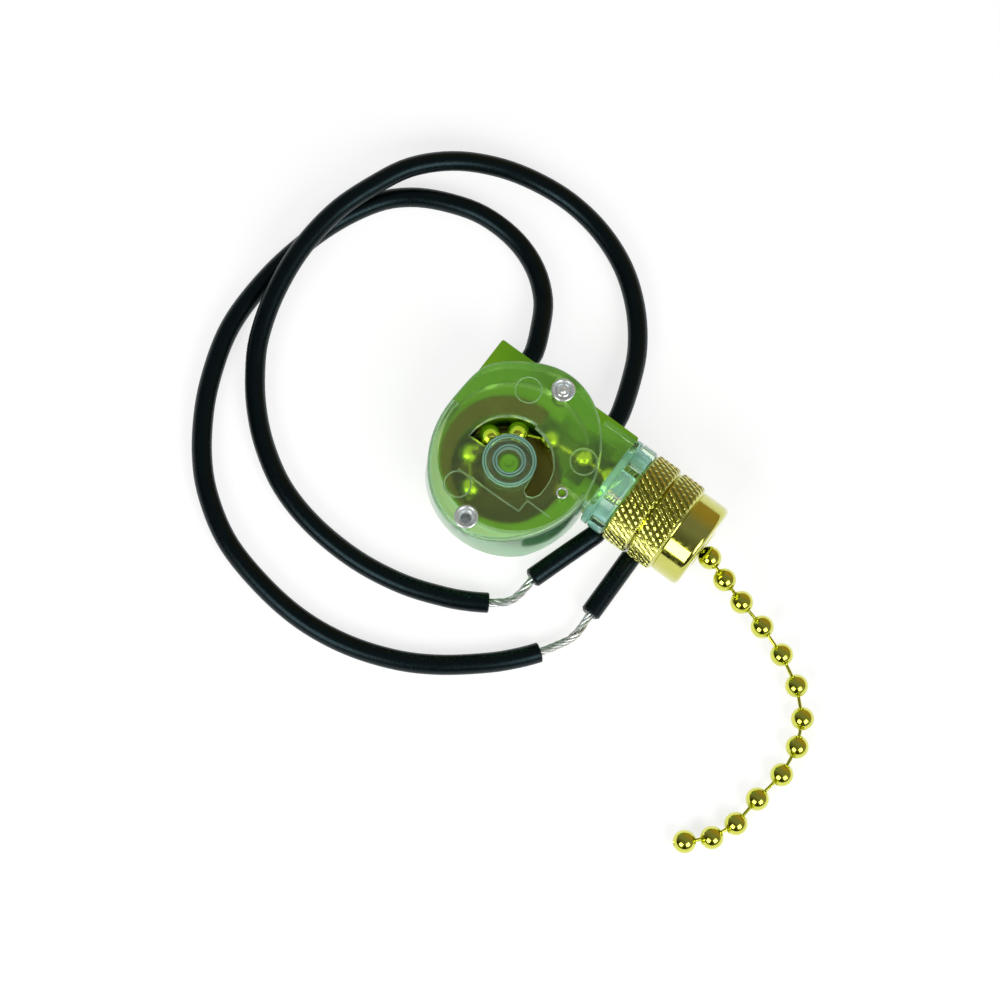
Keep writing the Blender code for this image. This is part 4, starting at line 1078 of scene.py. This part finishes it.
def knurled(radius, start, end):
    """Rings of a knurled nut's outside from start to end."""
    step = math.tau * radius / KNURL_POINTS / math.tan(math.radians(KNURL_LEAN))
    rows = round((end - start) / step)
    rings = []
    for row in range(rows + 1):
        x = start + (end - start) * row / rows
        rim = radius - max(0.0, NUT_CHAMFER - min(x - start, end - x))
        ring = []
        for k in range(KNURL_POINTS):
            depth = max(KNURL_CROSS * groove((k + row) / KNURL_SAMPLES), groove((k - row) / KNURL_SAMPLES))
            away = min(rim, radius - KNURL_DEPTH * depth)
            ring.append(ring_point(away, x, k / KNURL_POINTS))
        rings.append(ring)
    return rings


def round_rings(profile, count=KNURL_POINTS):
    """Plain rings about the neck from (radius, x) points."""
    return [[ring_point(radius, x, k / count) for k in range(count)] for radius, x in profile]


def split_knurl(bm, rings):
    """Split the knurl's cells along the groove that each lies in, so that its edges run true."""
    cells = bm.faces[:]
    for row in range(rings - 1):
        for k in range(KNURL_POINTS):
            face = cells[row * KNURL_POINTS + k]
            middle, across = k + 0.5, row + 0.5
            falling = KNURL_CROSS * groove((middle + across) / KNURL_SAMPLES)
            rising = groove((middle - across) / KNURL_SAMPLES)
            a, b, c, d = face.verts[:]
            bmesh.utils.face_split(face, *((a, c) if rising > falling else (b, d)))


def nut(name, knurl, rest, node):
    """A nut whose rings go along its knurl and then back along the rest of its profile."""
    bm = bmesh.new()
    skin(bm, knurl + round_rings(rest), closed=True)
    split_knurl(bm, len(knurl))
    fit(piece(name, outward(bm), BRASS, smooth=25), node, "brass", node)


def make_nuts():
    bore, edge = NUT_BORE, BORE_EDGE
    knurl = knurled(LOCKNUT_RADIUS, LOCKNUT_START, LOCKNUT_END)
    rest = [
        (bore + edge, LOCKNUT_END), (bore, LOCKNUT_END - edge), (bore, LOCKNUT_START + edge),
        (bore + edge, LOCKNUT_START),
    ]
    nut("knurled_locknut", knurl, rest, "locknut")
    knurl = knurled(CAP_RADIUS, CAP_START, CAP_SHOULDER)
    nose = [
        (NOSE_RADIUS - 0.05, CAP_SHOULDER), (NOSE_RADIUS - 0.1, CAP_SHOULDER + 0.12),
        (NOSE_RADIUS, CAP_SHOULDER + 0.25), (NOSE_RADIUS, CAP_SHOULDER + 1.5),
        *arc((NOSE_RADIUS - NOSE_ROUND, NOSE_END - NOSE_ROUND), NOSE_ROUND, 0, 90, 12),
    ]
    mouth = [
        (3.2, NOSE_END), (2.9, NOSE_END - 0.1), (2.4, NOSE_END - 0.45), (MOUTH_RADIUS, NOSE_END - 0.8),
        (MOUTH_RADIUS, MOUTH_FLOOR), (bore, MOUTH_FLOOR), (bore, CAP_START + edge), (bore + edge, CAP_START),
    ]
    nut("knurled_cap_nut", knurl, nose + mouth, "cap_nut")


def make_nipple():
    """The threaded tube under the nuts, with a flange inside the collar."""
    mouth = [(NIPPLE_BORE, NIPPLE_END), (THREAD_RADIUS - THREAD_DEPTH, NIPPLE_END)]
    foot = [(FLANGE_RADIUS, FLANGE_END), (FLANGE_RADIUS, FLANGE_START), (NIPPLE_BORE, FLANGE_START)]
    length = NIPPLE_END - NIPPLE_START
    rows = round(length / THREAD_PITCH * THREAD_ROWS)
    thread = []
    for row in range(rows + 1):
        x = NIPPLE_END - length * row / rows
        ring = []
        for k in range(NIPPLE_SIDES):
            turn = k / NIPPLE_SIDES
            depth = THREAD_DEPTH * abs(2 * ((x / THREAD_PITCH + turn) % 1) - 1)
            ring.append(ring_point(THREAD_RADIUS - depth, x, turn))
        thread.append(ring)
    rings = [*round_rings(mouth, NIPPLE_SIDES), *thread, *round_rings(foot, NIPPLE_SIDES)]
    bm = bmesh.new()
    skin(bm, rings, closed=True)
    fit(piece("neck_tube", outward(bm), BRASS, smooth=25), "housing", "brass", "threaded_nipple")


# Finishes
BLACK_PVC = moulded(
    "black_pvc", (0.001, 0.002, 0.0025), (0.002, 0.0035, 0.004), 0.30, 0.35, 0.008,
    specular_ior_level=0.25, specular_tint=(0.5, 0.85, 0.95, 1),
)
TINNED = turned_metal("tinned_copper", (0.62, 0.66, 0.64), (0.80, 0.83, 0.80), 0.33, (1, 1, 1))
LACQUER = {"coat_weight": 1.0, "coat_roughness": 0.03, "coat_ior": 1.75}
GOLD = turned_metal("gold_plate", (0.60, 0.63, 0.012), (0.67, 0.69, 0.02), 0.12, (1, 1, 1), 0.001, **LACQUER)
COVER_FINISHES = {
    "clear": clear_plastic("clear_plastic", (0.80, 0.95, 0.78), 0.07, 0.985),
    "satin": clear_plastic("clear_plastic_satin", (0.70, 0.90, 0.34), 0.225, 0.985, specular_ior_level=0.12),
    # A pale copy of the clear plastic: painted highlight on raised lines and on the rim's faces that look
    # up.
    "raised": clear_plastic("clear_plastic_raised", (0.60, 0.90, 0.52), 0.22, 0.78),
    # A darker copy of the clear plastic: painted shade on the rim's sides.
    "edge": clear_plastic("clear_plastic_edge", (0.30, 0.74, 0.46), 0.14, 0.88),
    # A milky copy of the clear plastic: a haze, and a painted highlight on the hub's rims and the collar.
    "milky_and_painted_highlight": clear_plastic("clear_plastic_milky", (0.44, 0.90, 0.80), 0.16, 0.62),
    # A dark copy of the clear plastic: painted shade.
    "painted_shade": clear_plastic("clear_plastic_dim", (0.16, 0.34, 0.14), 0.36, 0.95),
}
GREEN = moulded("green_plastic", (0.15, 0.36, 0.002), (0.19, 0.42, 0.004), 0.40)
BROWN = moulded("brown_plastic", (0.105, 0.078, 0.003), (0.135, 0.10, 0.005), 0.42)
IVORY = moulded("ivory_plastic", (0.70, 0.66, 0.52), (0.78, 0.73, 0.58), 0.45)
STEEL = turned_metal("plated_steel", (0.80, 0.86, 0.85), (0.90, 0.95, 0.95), 0.24, (0, 0, 1), metallic=0.7)
WIRE = turned_metal("spring_steel", (0.08, 0.075, 0.06), (0.12, 0.11, 0.09), 0.35, (1, 1, 1))
BRASS = turned_metal("brass", (0.53, 0.55, 0.06), (0.59, 0.60, 0.08), 0.14, (1, 0, 0), **LACQUER)
BRASS_SHEET = turned_metal("brass_sheet", (0.72, 0.54, 0.14), (0.78, 0.60, 0.18), 0.30, (0.1, 1, 1))
COPPER = turned_metal("spring_copper", (0.72, 0.40, 0.24), (0.80, 0.46, 0.28), 0.30, (0.1, 1, 1))

# The scene
bpy.context.scene.view_settings.view_transform = "Standard"
make_camera()
make_lead("left", -1, LEFT_ROUTE, LEFT_STRANDS, LEFT_SLUG)
make_lead("right", 1, RIGHT_ROUTE, RIGHT_STRANDS, RIGHT_SLUG)
make_chain()
make_floor()
make_room()
make_softbox("Left softbox", LEFT_LIGHT)
make_softbox("Right softbox", RIGHT_LIGHT)
make_base()
make_washer()
make_cover()
make_rivets()
make_spool()
make_return_spring()
finish_inner_nodes()
make_nuts()
make_nipple()
